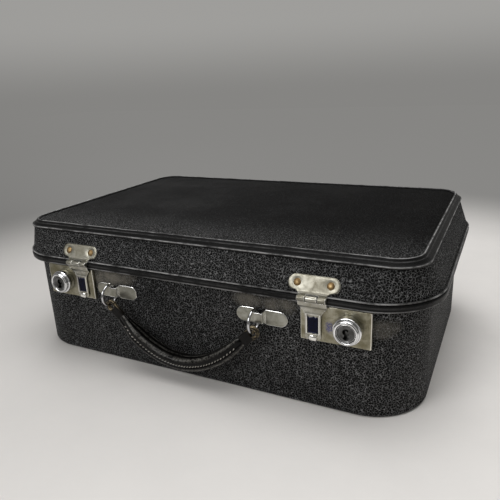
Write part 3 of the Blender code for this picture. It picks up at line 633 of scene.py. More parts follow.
def make_base():
    # bottom panel with its rolled edge
    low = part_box("base_bottom_panel")[0]
    shape = Shape()
    edge = [(3.4, 0.0), (2.3, 0.05), (1.5, 0.25), (0.8, 0.65), (0.3, 1.25), (0.05, 1.9), (0.0, 2.5),
            (0.35, 2.95)]
    shape.loft([outline(*BASE, low.z + z * MM, inset * MM) for inset, z in edge],
               [0, 0.1, 0.5, 1, 0.8, 0.3, 0.2, 0])
    shape.done("bottom_panel", GRAIN, "base", ["base_bottom_panel"])
    # covered wall: the leatherette turns over the rim and a little way down inside
    low_z = BASE_LOW.z
    section = [(0.35, low_z), (0.05, low_z + 0.3 * MM)]
    section += [(0.0, mix(low_z + 1.2 * MM, RIM_Z - 2.4 * MM, k / 14)) for k in range(15)]
    section += [(0.0, RIM_Z - 1.2 * MM), (0.12, RIM_Z - 0.5 * MM), (0.45, RIM_Z + 0.1 * MM),
                (1.0, RIM_Z + 0.42 * MM), (2.0, RIM_Z + 0.5 * MM), (4.0, RIM_Z + 0.5 * MM),
                (4.8, RIM_Z + 0.4 * MM), (5.15, RIM_Z), (5.25, RIM_Z - 0.8 * MM), (5.25, RIM_Z - 8 * MM),
                (4.75, RIM_Z - 8 * MM), (4.72, RIM_Z - 0.6 * MM), (4.4, RIM_Z + 0.12 * MM),
                (1.3, RIM_Z + 0.12 * MM), (0.85, RIM_Z - 0.3 * MM), (0.8, RIM_Z - 2 * MM), (0.8, low_z)]
    shape = Shape()
    wear = [0.0] * len(section)
    for k, (inset, z) in enumerate(section):
        if 0.1 < inset < 1.1 and z > RIM_Z - 1 * MM:
            wear[k] = 0.6
    shape.loft([outline(*BASE, z, inset * MM) for inset, z in section], wear, wrap=True)
    shape.wobble(0.11 * MM, 26 * MM, lambda p: smooth((p.z - low_z) / 0.01) * smooth((RIM_Z - p.z) / 0.02))
    shape.done("base_leatherette", GRAIN_RUBBED, "base", ["base_cover"])
    # lining tray with softened corners
    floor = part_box("base_lining")[0].z
    top = RIM_Z - 4.5 * MM
    outer = [(9.0, floor), (6.6, floor + 0.1 * MM), (5.7, floor + 0.7 * MM), (5.4, floor + 2 * MM)]
    outer += [(5.4, mix(floor + 6 * MM, top - 0.3 * MM, k / 8)) for k in range(9)] + [(5.55, top)]
    inner = [(5.9, top), (6.05, top - 0.3 * MM)] + [(6.1, mix(top - 2 * MM, floor + 6 * MM,
                                                              k / 8)) for k in range(9)]
    inner += [(6.2, floor + 3 * MM), (6.7, floor + 1.5 * MM), (7.8, floor + 0.9 * MM),
              (9.5, floor + 0.8 * MM)]
    rings = [outline(*BASE, z, inset * MM) for inset, z in outer + inner]
    rings += [[Vector((p.x * s, p.y * s, p.z)) for p in rings[-1]] for s in (0.9, 0.75, 0.5, 0.25, 0.05)]
    shape = Shape()
    shape.loft(rings)
    shape.wobble(0.10 * MM, 19 * MM, lambda p: smooth((p.z - floor - 0.7 * MM) / 0.001))
    shape.done("base_lining_cloth", LINING, "base", ["base_lining"])


def make_lid():
    # skin: walls and slightly crowned top in one body
    z_top = LID_HIGH.z
    levels = [77.5, 79, 81, 82.6, 83.4, 84.0, 84.8, 86.5, 89, 92, 95, 98, 101, 102.8, 103.8, 105.4]
    outside = [lid_ring(z * MM) for z in levels] + [lid_ring(z_top)]
    skin = 0.8 * MM
    inside = [lid_ring(z * MM, skin) for z in levels[:-1]] + [lid_ring(z_top - skin, skin)]
    crown = []
    for depth, rise in ((1.2, 0.05), (3.0, 0.16), (5.0, 0.34), (8.0, 0.5), (12.0, 0.58), (15.0, 0.62)):
        crown.append(lid_ring(z_top, depth * MM, z_top + rise * MM))
    centre_ring = crown[-1]
    for scale in (0.94, 0.87, 0.79, 0.7, 0.6, 0.49, 0.37, 0.25, 0.13, 0.03):
        lift = z_top + mix(0.95, 0.62, scale * scale) * MM
        crown.append([Vector((p.x * scale, p.y * scale, lift)) for p in centre_ring])
    ceiling = [[Vector((p.x * s, p.y * s, p.z)) for p in inside[-1]] for s in (0.6, 0.05)]
    rings = ceiling[::-1] + inside[::-1] + outside + crown
    shape = Shape()
    shape.loft(rings)

    def loose(p):
        if p.z > z_top - 0.1 * MM:
            edge = min(LID_HX - 11.8 * MM - abs(p.x), LID_HY - 11.8 * MM - abs(p.y))
            return 2.2 * smooth(edge / 0.02)
        return smooth((p.z - 0.0835) / 0.006) * smooth((0.1035 - p.z) / 0.006)

    shape.wobble(0.10 * MM, 33 * MM, loose)
    for face in shape.mesh.faces:
        if min(v.co.z for v in face.verts) > z_top - 0.08 * MM:
            face.material_index = 1
    shape.done("lid_leatherette", [GRAIN, TOP], "lid", ["lid_cover"])
    # lining
    wall, thick = 3.0 * MM, 0.6 * MM
    low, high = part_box("lid_lining")
    ladder = [mix(low.z, high.z - 2.5 * MM, k / 8) for k in range(9)]
    outer = [lid_ring(z, wall) for z in ladder] + [lid_ring(high.z - 0.8 * MM, wall + 0.2 * MM),
                                                  lid_ring(high.z, wall + 1.2 * MM)]
    inner = [lid_ring(low.z, wall + thick)] + [lid_ring(z, wall + thick) for z in ladder[1:]]
    inner += [lid_ring(high.z - 1.6 * MM, wall + thick + 0.5 * MM),
              lid_ring(high.z - 0.9 * MM, wall + thick + 1.6 * MM),
              lid_ring(high.z - 0.8 * MM, wall + thick + 3.5 * MM)]
    outer_top = [[Vector((p.x * s, p.y * s, p.z)) for p in outer[-1]] for s in (0.05, 0.6)]
    inner_top = [[Vector((p.x * s, p.y * s, p.z)) for p in inner[-1]] for s in (0.85, 0.65, 0.45, 0.25,
                                                                                0.05)]
    shape = Shape()
    shape.loft(outer_top + outer[::-1] + inner + inner_top)
    shape.done("lid_lining_cloth", LINING, "lid", ["lid_lining"])
    make_binding()
    make_bead()


def make_binding():
    """Strip over the top edge with a cord-like ridge along each side."""
    z_edge, z_top = LID_LEVELS[2][0], LID_HIGH.z
    spine = [(-0.85, z_edge - 1.2 * MM), (-0.35, z_edge + 0.15 * MM), (1.2, z_edge + 1.85 * MM),
             (2.75, z_top + 0.25 * MM), (4.7, z_top + 0.3 * MM)]
    points = [Vector((inset * MM, z)) for inset, z in spine]
    lengths = [0.0]
    for a, b in zip(points, points[1:]):
        lengths.append(lengths[-1] + (b - a).length)
    table = [(d, p.x, p.y) for d, p in zip(lengths, points)]
    total = lengths[-1]
    steps = 30

    def spot(distance):
        return Vector(along(table, distance))

    upper, lower, wear = [], [], []
    for k in range(steps + 1):
        d = total * k / steps
        a, b = spot(max(0, d - 0.8 * MM)), spot(min(total, d + 0.8 * MM))
        t = (b - a).normalized()
        normal = Vector((-t.y, t.x))
        ridge_low = math.exp(-((d - 1.15 * MM) / (0.62 * MM)) ** 2)
        ridge_high = math.exp(-((d - (total - 1.15 * MM)) / (0.60 * MM)) ** 2)
        crease = math.exp(-((d - (total - 3.1 * MM)) / (0.30 * MM)) ** 2)
        height = 0.42 + 0.92 * ridge_low + 0.80 * ridge_high - 0.24 * crease
        ends = min(1.0, min(d, total - d) / (0.35 * MM))
        height *= mix(0.35, 1.0, rounded(ends))
        upper.append(spot(d) + normal * height * MM)
        lower.append(spot(d) - normal * 0.02 * MM)
        # wear share on both ridges: the binding finish paints it grey as rubbing and as painted highlight
        # lines
        wear.append(max(smooth((ridge_low - 0.55) / 0.4), smooth((ridge_high - 0.55) / 0.4),
                        0.25 * crease))
    section = upper + lower[::-2]
    shares = wear + [0.0] * len(lower[::-2])
    hx, hy = LID_HX - LID_LEVELS[2][1], LID_HY - LID_LEVELS[2][1]
    shape = Shape()
    shape.loft([outline(hx, hy, LID_LEVELS[2][2], p.y, p.x) for p in section], shares, wrap=True)
    kinks = [(0.66, 0.16), (0.695, 0.16), (0.9, 0.12), (0.02, 0.10), (0.36, 0.12), (0.43, 0.1),
             (0.985, 0.14)]
    shape.mesh.normal_update()
    perimeter = 2 * (hx + hy)
    moves = []
    for v in shape.mesh.verts:
        angle = math.atan2(v.co.y / hy, v.co.x / hx) / (2 * math.pi) % 1.0
        lift = 0.10 * noise.noise(v.co / (9 * MM)) + 0.05 * noise.noise(v.co / (3.5 * MM))
        for place, depth in kinks:
            gap = ((angle - place + 0.5) % 1.0 - 0.5) * perimeter
            lift -= 1.6 * depth * math.exp(-(gap / (1.3 * MM)) ** 2) * (1 + 0.6 * v[shape.wear])
        moves.append((v, v.normal * lift * MM * (0.35 + v[shape.wear])))
    for v, move in moves:
        v.co += move
        v.co.z = min(v.co.z, CAD_BOX[1][2])
    shape.done("lid_edge_binding", BINDING, "lid", ["lid_top_binding"], angle=60)


def make_bead():
    """Rim bead: thin lip, dark groove, and a soft band that ends in a pressed lower line."""
    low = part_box("lid_rim_bead")[0].z
    # rows of outward, up and wear share; the wear on the lip and lower ridge is painted grey by the binding
    # finish, as rubbing and as a painted highlight
    rows = [(-0.1, 0.0, 0), (0.35, 0.05, 0), (0.8, 0.12, 0.2), (1.22, 0.35, 0.75), (1.42, 0.7, 1.0),
            (1.40, 1.05, 0.5), (1.30, 1.3, 0), (1.42, 1.6, 0), (1.58, 2.2, 0), (1.66, 2.9, 0.1),
            (1.66, 3.5, 0.1), (1.58, 4.1, 0), (1.38, 4.6, 0), (0.98, 4.95, 0), (0.55, 5.1, 0),
            (0.5, 5.3, 0), (0.85, 5.4, 0.1), (1.28, 5.55, 0.7), (1.5, 5.85, 1.0), (1.42, 6.2, 1.0),
            (1.12, 6.48, 0.6), (0.7, 6.6, 0.1), (0.2, 6.6, 0), (0.12, 6.3, 0), (0.12, 3.0, 0),
            (0.12, 0.4, 0), (-0.6, 0.25, 0), (-0.6, 0.0, 0)]
    hx, hy, radius = LID_HX, LID_HY, LID_LEVELS[0][2]
    shape = Shape()
    shape.loft([outline(hx, hy, radius, low + up * MM, -out * MM) for out, up, _ in rows],
               [w for _, _, w in rows], wrap=True)
    shape.mesh.normal_update()
    moves = []
    for v in shape.mesh.verts:
        lift = 0.10 * noise.noise(v.co / (11 * MM)) + 0.05 * noise.noise(v.co / (4 * MM))
        outer = smooth((max(abs(v.co.x) - hx, abs(v.co.y) - hy) + 6 * MM) / (6 * MM))
        moves.append((v, v.normal * lift * MM * outer))
    limit = Vector(CAD_BOX[1])
    for v, move in moves:
        v.co += move
        v.co.x = max(-limit.x, min(limit.x, v.co.x))
    shape.done("lid_bead", BINDING, "lid", ["lid_rim_bead"], angle=60)


# ---------------------------------------------------------------- hinge bars, hasps, rear leaves



def middle_x(node):
    low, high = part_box(node)
    return (low.x + high.x) / 2


HASP_X = {label: middle_x("hasp_plate_" + label) for label, _ in SIDES}
REAR_X = {label: middle_x("lid_hinge_leaf_" + label) for label, _ in SIDES}
KNUCKLE_Y = 117.2 * MM
BARREL, REAR_BARREL = 1.85 * MM, 1.5 * MM
WING = 9.5 * MM
MIDDLE = 3.65 * MM
KNUCKLE_GAP = 0.55 * MM
HASP_AXIS_Z, LID_AXIS_Z = 81.6 * MM, 79.2 * MM
BAR_SHEET, HASP_SHEET, LEAF_SHEET, TONGUE_SHEET = 0.62 * MM, 0.52 * MM, 0.6 * MM, 0.55 * MM
LEAF_RIVET_X, LEAF_RIVET_Z = 6 * MM, 64 * MM
BAR = (17.25 * MM, 5.4 * MM)
BAR_Z = 89.4 * MM
RIVET_X = 11 * MM
LID_SLOPE = math.atan2(LID_LEVELS[2][1], LID_LEVELS[2][0] - LID_LEVELS[1][0])


def wall_y(z):
    return LID_HY - along(LID_LEVELS, z)[0]


def wall_matrix(x):
    return Matrix.Translation((x, -wall_y(BAR_Z), BAR_Z)) @ Matrix.Rotation(-LID_SLOPE, 4, "X")


def centred(count, edge=0.12):
    """Columns from -1 to 1, closer together towards both edges."""
    half = [1 - edge * (1 - math.cos(math.pi / 2 * k / 3)) for k in range(4)]
    inner = [half[-1] * (1 - k / (count / 2)) for k in range(1, count // 2 + 1)]
    right = half + inner
    return [-v for v in right] + right[-2::-1] if right[-1] == 0 else [-v for v in right] + right[::-1]


def barrel_radius(turn):
    return BARREL if turn is IDENTITY else REAR_BARREL


def barrel(shape, x0, x1, z, turn):
    length, r = abs(x1 - x0), barrel_radius(turn)
    rows = [(0.0, 0.86 * MM), (0.0, r - 0.32 * MM), (0.06 * MM, r - 0.14 * MM),
            (0.2 * MM, r - 0.03 * MM), (0.4 * MM, r), (length / 2, r + 0.01 * MM)]
    rows += [(length - d, radius) for d, radius in rows[-2::-1]]
    wear = [0.2, 1, 1, 0.8, 0.35, 0.2, 0.35, 0.8, 1, 1, 0.2]
    shape.lathe(rows, (min(x0, x1), -KNUCKLE_Y, z), (1, 0, 0), 40, wear, turn)


def dimple(x, v):
    """Hollow pressed round each rivet."""
    near = min(math.hypot(x - RIVET_X, v), math.hypot(x + RIVET_X, v))
    return 0.32 * MM * smooth(1 - (near - 2.3 * MM) / (1.5 * MM))


def make_bar(name, centre, axis_z, turn, node):
    """Riveted bar on the lid: cushioned stadium whose neck rolls into two outer knuckles."""
    half, high = BAR
    frame_in = wall_matrix(0)
    ladder = [high * math.sin(math.radians(t)) for t in (90, 84, 76, 66, 54, 42, 30, 20, 10, 0, -10, -20,
                                                         -30, -40, -50)]
    columns = mirrored([-1, -0.985, -0.955, -0.9, -0.82, -0.74, -0.66, -0.58, -0.5, -0.432, -0.3, -0.15, 0])
    neck = [(-4.75, 11.9, 1.42), (-5.3, 10.9, 1.5), (-5.9, 10.1, 1.68), (-6.4, WING / MM, 2.0)]
    rows = []
    for v in ladder:
        width = half - high + math.sqrt(max(0.0, high * high - v * v))
        if v >= high * 0.999:
            width = half - high * 0.86
        row = []
        for c in columns:
            x = c * width
            edge = min(1.0, max(0.0, 1 - abs(c)) * width / (1.5 * MM), (high - v) / (1.3 * MM))
            crown = 1.05 * MM + 0.40 * MM * rounded(edge)
            row.append(frame_in @ Vector((x, -crown + dimple(x, v), v)))
        rows.append(row)
    for v, width, out in neck:
        row = []
        for c in columns:
            edge = min(1.0, (1 - abs(c)) * width / 1.4)
            crown = out + 0.2 * rounded(edge) - 0.2
            row.append(frame_in @ Vector((c * width * MM, -crown * MM, v * MM)))
        rows.append(row)
    last = rows[-1]
    for share in (0.4, 0.75, 1.0):
        row = []
        for c, start in zip(columns, last):
            end = Vector((c * WING, -KNUCKLE_Y + 0.84 * barrel_radius(turn),
                          axis_z + 0.62 * barrel_radius(turn)))
            row.append(start.lerp(end, share))
        rows.append(row)
    first_slot = len(rows) - 3
    slot = [k for k, c in enumerate(columns) if abs(c) <= 0.4321]
    shape = Shape()
    moved = [[turn @ (Vector((centre, 0, 0)) + p) for p in row] for row in rows]
    shape.sheet(moved, BAR_SHEET, turn @ Vector((0, -1, 0.3)),
                skip=lambda i, j: i >= first_slot and slot[0] <= j < slot[-1])
    barrel(shape, centre + MIDDLE + KNUCKLE_GAP, centre + WING, axis_z, turn)
    barrel(shape, centre - WING, centre - MIDDLE - KNUCKLE_GAP, axis_z, turn)
    shape.done(name, NICKEL, "lid", [node], bevel=0.12 * MM, angle=40)


def make_rivet(name, place, body, node, head_out):
    """Domed rivet with a small burr round its edge, settled in its dimple."""
    shape = Shape()
    out = head_out
    profile = [(out + 0.62, 0.0), (out + 0.61, 0.6), (out + 0.56, 1.2), (out + 0.47, 1.75),
               (out + 0.32, 2.2), (out + 0.14, 2.5), (out + 0.02, 2.56), (out - 0.1, 2.42),
               (out - 0.12, 1.1), (-2.0, 1.08), (-2.0, 0.0)]
    profile = [(-d * MM, max(r, 0.02) * MM) for d, r in profile]
    shape.lathe(profile, (0, 0, 0), (0, 1, 0), 36, [0.7, 0.6, 0.4, 0.2, 0.1, 0.5, 0.6, 0, 0, 0, 0], place)
    shape.done(name, BRASS, body, [node], angle=50)


HASP_TABLE = [(53.0, 4.1, 114.72), (53.5, 4.8, 114.72), (54.4, 5.2, 114.7), (68.6, 5.2, 114.7),
              (69.6, 5.4, 114.7), (70.6, 5.8, 114.7), (71.6, 6.4, 114.7), (72.6, 7.15, 114.7),
              (73.4, 7.9, 114.72), (74.1, 8.6, 114.85), (74.7, 9.1, 115.15), (75.3, 9.4, 115.6),
              (75.9, 9.5, 116.05), (76.5, 9.5, 116.35), (77.2, 9.5, 116.5), (77.9, 9.5, 116.6),
              (78.6, 9.5, 116.7), (79.1, 9.5, 116.7)]
WINDOW = (3.72, 57.0, 69.9)


def make_hasp(label):
    centre = HASP_X[label]
    half, low, high = WINDOW
    heights = [53.0, 53.2, 53.6, 54.2, 55.0, 55.8, low - 1.15, low - 0.9, low - 0.3, low, low + 0.14,
               low + 0.6]
    heights += [mix(low + 0.6, high - 0.6, k / 6) for k in range(1, 6)]
    heights += [high - 0.6, high - 0.14, high, high + 0.3, high + 0.9, high + 1.25, 71.7, 72.3, 73.0,
                73.6, 74.1, 74.6, 75.0, 75.4, 75.8, 76.2, 76.6, 77.0, 77.4, 77.8, 78.2, 78.6, 78.9, 79.1]
    right = [0, 1.0, 2.2, half - 0.5, half - 0.14, half, half + 0.3, half + 0.75, half + 1.1, 4.98, 5.2]
    columns = [-c for c in right[:0:-1]] + right
    rows = []
    for z in heights:
        width, out = along(HASP_TABLE, z)
        row = []
        for c in columns:
            x = c * width / 5.2
            lift = 0.0
            if abs(c) <= half - 0.1 and low + 0.1 <= z <= high - 0.1:
                lift -= 0.42
            border = max(abs(c) - half, low - z, z - high)
            if -0.01 <= border <= 1.25 and z < 71.3:
                lift += 0.32 * math.sin(math.pi * min(1.0, max(0.0, border + 0.25) / 1.4))
            edge = min(1.0, (5.2 - abs(c)) / 0.9)
            if z > 71.3:
                lift -= 0.18 * (1 - edge) ** 2
            crease = math.exp(-((z - 76.9) / 0.28) ** 2) + math.exp(-((z - 74.9) / 0.26) ** 2)
            lift -= 0.12 * crease
            row.append(Vector((centre + x * MM, -(out + lift) * MM, z * MM)))
        rows.append(row)
    shape = Shape()
    shape.sheet(rows, HASP_SHEET, (0, -1, 0), wear=lambda p: 0.85 if (
        abs(p.y + 114.98 * MM) < 0.09 * MM and p.z < 71.2 * MM and low * MM - 0.7 * MM < p.z) else 0.0)
    barrel(shape, centre - MIDDLE, centre + MIDDLE, HASP_AXIS_Z, IDENTITY)
    # tongue that carries the barrel
    tongue = [[Vector((centre + c * MIDDLE, -y * MM, z * MM)) for c in (-1, -0.9, 0, 0.9, 1)]
              for z, y in ((78.7, 116.9), (79.4, 117.3), (80.0, 117.7), (80.6, 118.1), (81.2, 118.4))]
    shape.sheet(tongue, TONGUE_SHEET, (0, -1, 0))
    # pressed tab at the foot and the catch behind
    left, right, foot, head = -2.7, 2.7, 52.3, 55.9
    rings = []
    for z, shrink in ((foot, 0.35), (foot + 0.25, 0.08), (mix(foot, head, 0.5), 0.0), (head - 0.3, 0.1),
                      (head, 0.4)):
        push = 0.34 * math.sin(math.pi * (z - foot) / (head - foot))
        rings.append([Vector((centre + x * MM, (-114.35 + y - push) * MM, z * MM)) for x, y in (
            (left + shrink, -1.0), (left + 0.5, -1.25 - push), (0, -1.32 - push),
            (right - 0.5, -1.25 - push),
            (right - shrink, -1.0), (right - shrink, -0.2), (left + shrink, -0.2))])
    shape.loft(rings, [1, 1, 0.9, 1, 1])
    catch = [[Vector((centre + x * MM, y * MM, z * MM)) for x, z in
              plate_outline(-1.2, 1.2, 55.6, 58.4, 0.4, inset, 3)] for y, inset in
             ((-114.3, 0.0), (-112.3, 0.0), (-111.95, 0.15), (-111.8, 0.45))]
    shape.loft(catch)
    shape.done("hasp_strap_" + label, BRIGHT, "hasp_" + label, ["hasp_" + label],
               bevel=0.1 * MM, angle=45)
    make_film(label, centre)


def make_film(label, centre):
    """Film left in the window, torn along its upper edge."""
    half, low, high = WINDOW
    rng = random.Random(7 if label == "right" else 12)
    columns = 34
    rows = 12
    top = []
    ragged = 0.0
    for k in range(columns + 1):
        ragged = 0.55 * ragged + rng.uniform(-0.55, 0.55)
        top.append(high - 1.35 + ragged - (0.5 if k in (5, 6, 7) else 0.0))
    grid = []
    for i in range(rows + 1):
        row = []
        for k in range(columns + 1):
            x = mix(-half + 0.2, half - 0.2, k / columns)
            z = mix(low + 0.22, top[k], i / rows)
            puff = 0.05 * noise.noise(Vector((x * 0.9, z * 0.7, side_seed(label))))
            row.append(Vector((centre + x * MM, -(114.40 + puff) * MM, z * MM)))
        grid.append(row)
    shape = Shape()
    shape.sheet(grid, 0.06 * MM, (0, -1, 0), wear=lambda p: smooth((p.z / MM - high + 2.6) / 1.6))
    shape.done("hasp_film_remnant_" + label, FILM, "hasp_" + label, ["hasp_film_" + label],
               angle=60)


def side_seed(label):
    return 3.7 if label == "left" else 9.1


def make_leaf(name, centre, node):
    """Rear hinge leaf on the base: plate, bend under the bead, middle knuckle."""
    table = [(57.0, 6.4, 111.5), (57.4, 7.6, 111.55), (58.2, 8.7, 111.6), (59.4, 9.35, 111.6),
             (60.6, 9.5, 111.6), (73.0, 9.5, 111.6), (74.0, 9.5, 112.2), (75.0, 9.5, 113.9),
             (76.0, 9.5, 115.7), (76.6, 9.5, 116.6), (77.3, 9.5, 117.3)]
    heights = [57.0, 57.15, 57.5, 58.2, 59.2, 60.4] + [mix(61.4, 66.6, k / 9) for k in range(10)]
    heights += [68, 70, 72, 73, 73.6, 74.2, 74.8, 75.4, 76.0, 76.5, 76.9, 77.3]
    columns = mirrored([-1, -0.985, -0.95, -0.88, -0.8, -0.72, -0.63, -0.54, -0.45, -0.36, -0.2, 0])
    rows = []
    for z in heights:
        width, out = along(table, z)
        row = []
        for c in columns:
            x = c * width
            near = min(math.hypot(x - 6, z - 64), math.hypot(x + 6, z - 64))
            sunk = 0.25 * smooth(1 - (near - 1.6) / 1.8)
            edge = min(1.0, (1 - abs(c)) * width / 1.2, (z - 57.0) / 1.1)
            crown = 0.3 * rounded(edge)
            row.append(BACK @ Vector((centre + x * MM, -(out + crown - 0.1 - sunk) * MM, z * MM)))
        rows.append(row)
    shape = Shape()
    shape.sheet(rows, LEAF_SHEET, (0, 1, 0))
    barrel(shape, centre - MIDDLE, centre + MIDDLE, LID_AXIS_Z, BACK)
    tongue = [[BACK @ Vector((centre + c * MIDDLE, -y * MM, z * MM)) for c in (-1, -0.9, 0, 0.9, 1)]
              for z, y in ((76.9, 117.4), (77.6, 117.75), (78.2, 118.1), (78.8, 118.4))]
    shape.sheet(tongue, TONGUE_SHEET, (0, 1, 0))
    shape.done(name, NICKEL, "base", [node], bevel=0.12 * MM, angle=45)


def make_fittings():
    for label, _ in SIDES:
        make_bar("lid_bar_" + label, HASP_X[label], HASP_AXIS_Z, IDENTITY, "hasp_plate_" + label)
        make_bar("rear_bar_" + label, -REAR_X[label], LID_AXIS_Z, BACK, "lid_hinge_leaf_" + label)
        make_leaf("rear_leaf_" + label, -REAR_X[label], "base_hinge_leaf_" + label)
        make_hasp(label)
    rear = sorted(REAR_X.values())
    for kind, turn, centres in (("hasp_plate_rivet_", IDENTITY, sorted(HASP_X.values())),
                                ("lid_hinge_rivet_", BACK, rear)):
        number = 0
        for centre in centres:
            for offset in (-RIVET_X, RIVET_X):
                number += 1
                place = turn @ wall_matrix(centre + offset)
                make_rivet("dome_" + kind + str(number), place, "lid", kind + str(number), 1.12)
    number = 0
    for centre in rear:
        for offset in (-LEAF_RIVET_X, LEAF_RIVET_X):
            number += 1
            place = BACK @ Matrix.Translation((centre + offset, FRONT, LEAF_RIVET_Z))
            make_rivet("dome_base_rivet_" + str(number), place, "base", "base_hinge_rivet_" + str(number),
                       1.05)


# ---------------------------------------------------------------- locks

def make_lock(label, side):
    low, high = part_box("lock_plate_" + label)
    face, wall = low.y, high.y
    x0, x1, z0, z1 = low.x, high.x, low.z, high.z
    knob_low, knob_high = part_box("lock_knob_" + label)
    knob = Vector(((knob_low.x + knob_high.x) / 2, knob_low.y, (knob_low.z + knob_high.z) / 2))

    def ring(inset, y, radius=0.5 * MM):
        return [Vector((x, y, z)) for x, z in plate_outline(x0, x1, z0, z1, radius, inset)]

    thick = 0.8 * MM
    levels = [(thick, wall - 0.0), (thick, face + 1.4 * MM), (thick + 0.4 * MM, face + thick)]
    inner = [ring(inset, y) for inset, y in levels]
    outer = [ring(inset, y) for inset, y in ((0.0, wall), (0.0, wall - 0.8 * MM), (0.0, face + 0.5 * MM),
             (0.06 * MM, face + 0.22 * MM), (0.2 * MM, face + 0.07 * MM), (0.42 * MM, face + 0.01 * MM),
             (0.75 * MM, face), (1.5 * MM, face))]
    shape = Shape()
    shape.loft(inner[::-1] + outer, [0, 0, 0, 0.3, 0.2, 0.9, 1, 1, 0.75, 0.1, 0])
    hx = HASP_X[label]
    neck = 3.9 * MM
    if side < 0:
        slot = [knob.x - neck - 4 * MM, knob.x + neck]
    else:
        slot = [knob.x - neck, knob.x + neck + 4 * MM]
    groove_x = (x1 if side > 0 else x0) - side * 1.9 * MM
    cuts = [cutter(box_rings((slot[0], face - 1 * MM, knob.z - neck),
                             (slot[1], face + 1.1 * MM, knob.z + neck))),
            cutter(box_rings((hx - 1.7 * MM, face - 1 * MM, 54.6 * MM), (hx + 1.7 * MM, face + 1.1 * MM,
                                                                         74.6 * MM))),
            cutter(box_rings((groove_x - 0.2 * MM, face - 1 * MM, z0 - 1 * MM),
                             (groove_x + 0.2 * MM, face + 0.25 * MM, z1 + 1 * MM)))]
    finish = PLATE
    if side > 0:
        finish = metal("plate_nickel_smudged", *PLATE_FINISH,
                       smudge=(((hx + knob.x) / 2 - 1.1 * MM, face, knob.z - 1.5 * MM), 4.2 * MM,
                               (0.055, 0.06, 0.22, 1)))
    shape.done("lock_faceplate_" + label, finish, "base", ["lock_plate_" + label], cutters=cuts,
               angle=30)
    make_knob(label, knob, face - 0.3 * MM)


def turned(shape, rows, centre, sides):
    """Lathes (depth, radius, wear) rows in millimetres, with depth towards the front."""
    shape.lathe([(-d * MM, r * MM) for d, r, _ in rows], centre, (0, 1, 0), sides, [w for _, _, w in rows])


def make_knob(label, knob, back):
    reach = back - knob.y
    neck_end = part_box("lock_knob_" + label)[1].y
    front = reach / MM
    rows = [(-(neck_end - back) / MM, 3.35, 0), (0.0, 3.35, 0), (0.0, 8.85, 0.4), (0.1, 9.08, 1),
            (0.3, 9.18, 0.7), (0.6, 9.2, 0.1), (front - 3.7, 9.2, 0), (front - 3.25, 9.17, 0.5),
            (front - 2.95, 9.05, 1), (front - 2.75, 8.84, 1), (front - 2.65, 8.55, 0.6),
            (front - 2.6, 8.1, 0), (front - 2.5, 7.9, 0), (front - 2.2, 7.78, 0), (front - 1.8, 7.8, 0),
            (front - 1.55, 7.95, 0.2), (front - 1.3, 8.12, 0.8), (front - 0.95, 8.2, 1),
            (front - 0.6, 8.12, 1), (front - 0.3, 7.9, 0.8), (front - 0.1, 7.55, 0.5),
            (front, 7.15, 0.5), (front - 0.03, 6.75, 1), (front - 0.2, 6.45, 1),
            (front - 0.5, 6.26, 0.3), (front - 1.0, 6.2, 0), (front - 6.55, 6.2, 0)]
    shape = Shape()
    turned(shape, rows, (knob.x, back, knob.z), 96)
    shape.done("knob_" + label, CHROME, "knob_" + label, ["lock_knob_" + label], angle=40)
    rows = [(front - 6.3, 5.98, 0), (front - 1.0, 5.98, 0), (front - 0.82, 5.93, 0.5),
            (front - 0.72, 5.78, 0.8), (front - 0.75, 5.5, 0.3), (front - 1.0, 5.25, 0),
            (front - 1.05, 5.0, 0), (front - 0.98, 4.7, 0.3), (front - 1.05, 4.2, 0.1),
            (front - 1.25, 3.4, 0), (front - 1.4, 2.6, 0)]
    shape = Shape()
    turned(shape, rows, (knob.x, back, knob.z), 96)
    eye = [[Vector((knob.x + 2.3 * MM * math.cos(a), y, knob.z + 0.6 * MM + 2.3 * MM * math.sin(a)))
            for a in (2 * math.pi * k / 32 for k in range(32))] for y in (knob.y - 1 * MM,
                                                                          knob.y + 4.6 * MM)]
    slit = [[Vector((knob.x + x * MM, y, knob.z + z * MM)) for x, z in
             ((-1.1, 0.2), (1.1, 0.2), (1.15, -2.2), (1.9, -3.8), (1.1, -4.5), (-1.1, -4.5), (-1.9, -3.8),
              (-1.15, -2.2))] for y in (knob.y - 1 * MM, knob.y + 4.6 * MM)]
    shape.done("plug_face_" + label, PLUG, "plug_" + label, ["key_plug_" + label], angle=40,
               cutters=[cutter(eye), cutter(slit)])
    # post that the key fits over
    shape = Shape()
    post = [(front - 5.4, 0.85, 0), (front - 2.4, 0.85, 0), (front - 2.15, 0.75, 0.3),
            (front - 2.0, 0.5, 0.3),
            (front - 1.96, 0.05, 0.3)]
    turned(shape, post, (knob.x, back, knob.z + 0.6 * MM), 24)
    shape.done("key_post_" + label, PLUG, "plug_" + label, ())


SPRING_TURNS, SPRING_STEPS = 5, 20
SPRING_WIRE = 0.3 * MM


def make_spring(label):
    """Return spring that the bolt's lug presses outwards: a wire coil built at one fixed length."""
    node = "lock_spring_" + label
    low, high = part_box(node)
    middle = (low + high) / 2
    coil = (high.z - low.z) / 2 - SPRING_WIRE
    count = SPRING_TURNS * SPRING_STEPS
    rings = []
    for k in range(count + 1):
        angle = 2 * math.pi * k / SPRING_STEPS
        outward = Vector((0, math.cos(angle), math.sin(angle)))
        place = Vector((mix(low.x + SPRING_WIRE, high.x - SPRING_WIRE, k / count), middle.y,
                        middle.z)) + outward * coil
        rings.append(disc(place, outward, Vector((1, 0, 0)), SPRING_WIRE, 8))
    shape = Shape()
    shape.loft(rings)
    made = shape.done("spring_coil_" + label, STEEL, "base", [node], angle=80)
    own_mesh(made)


# ---------------------------------------------------------------- handle

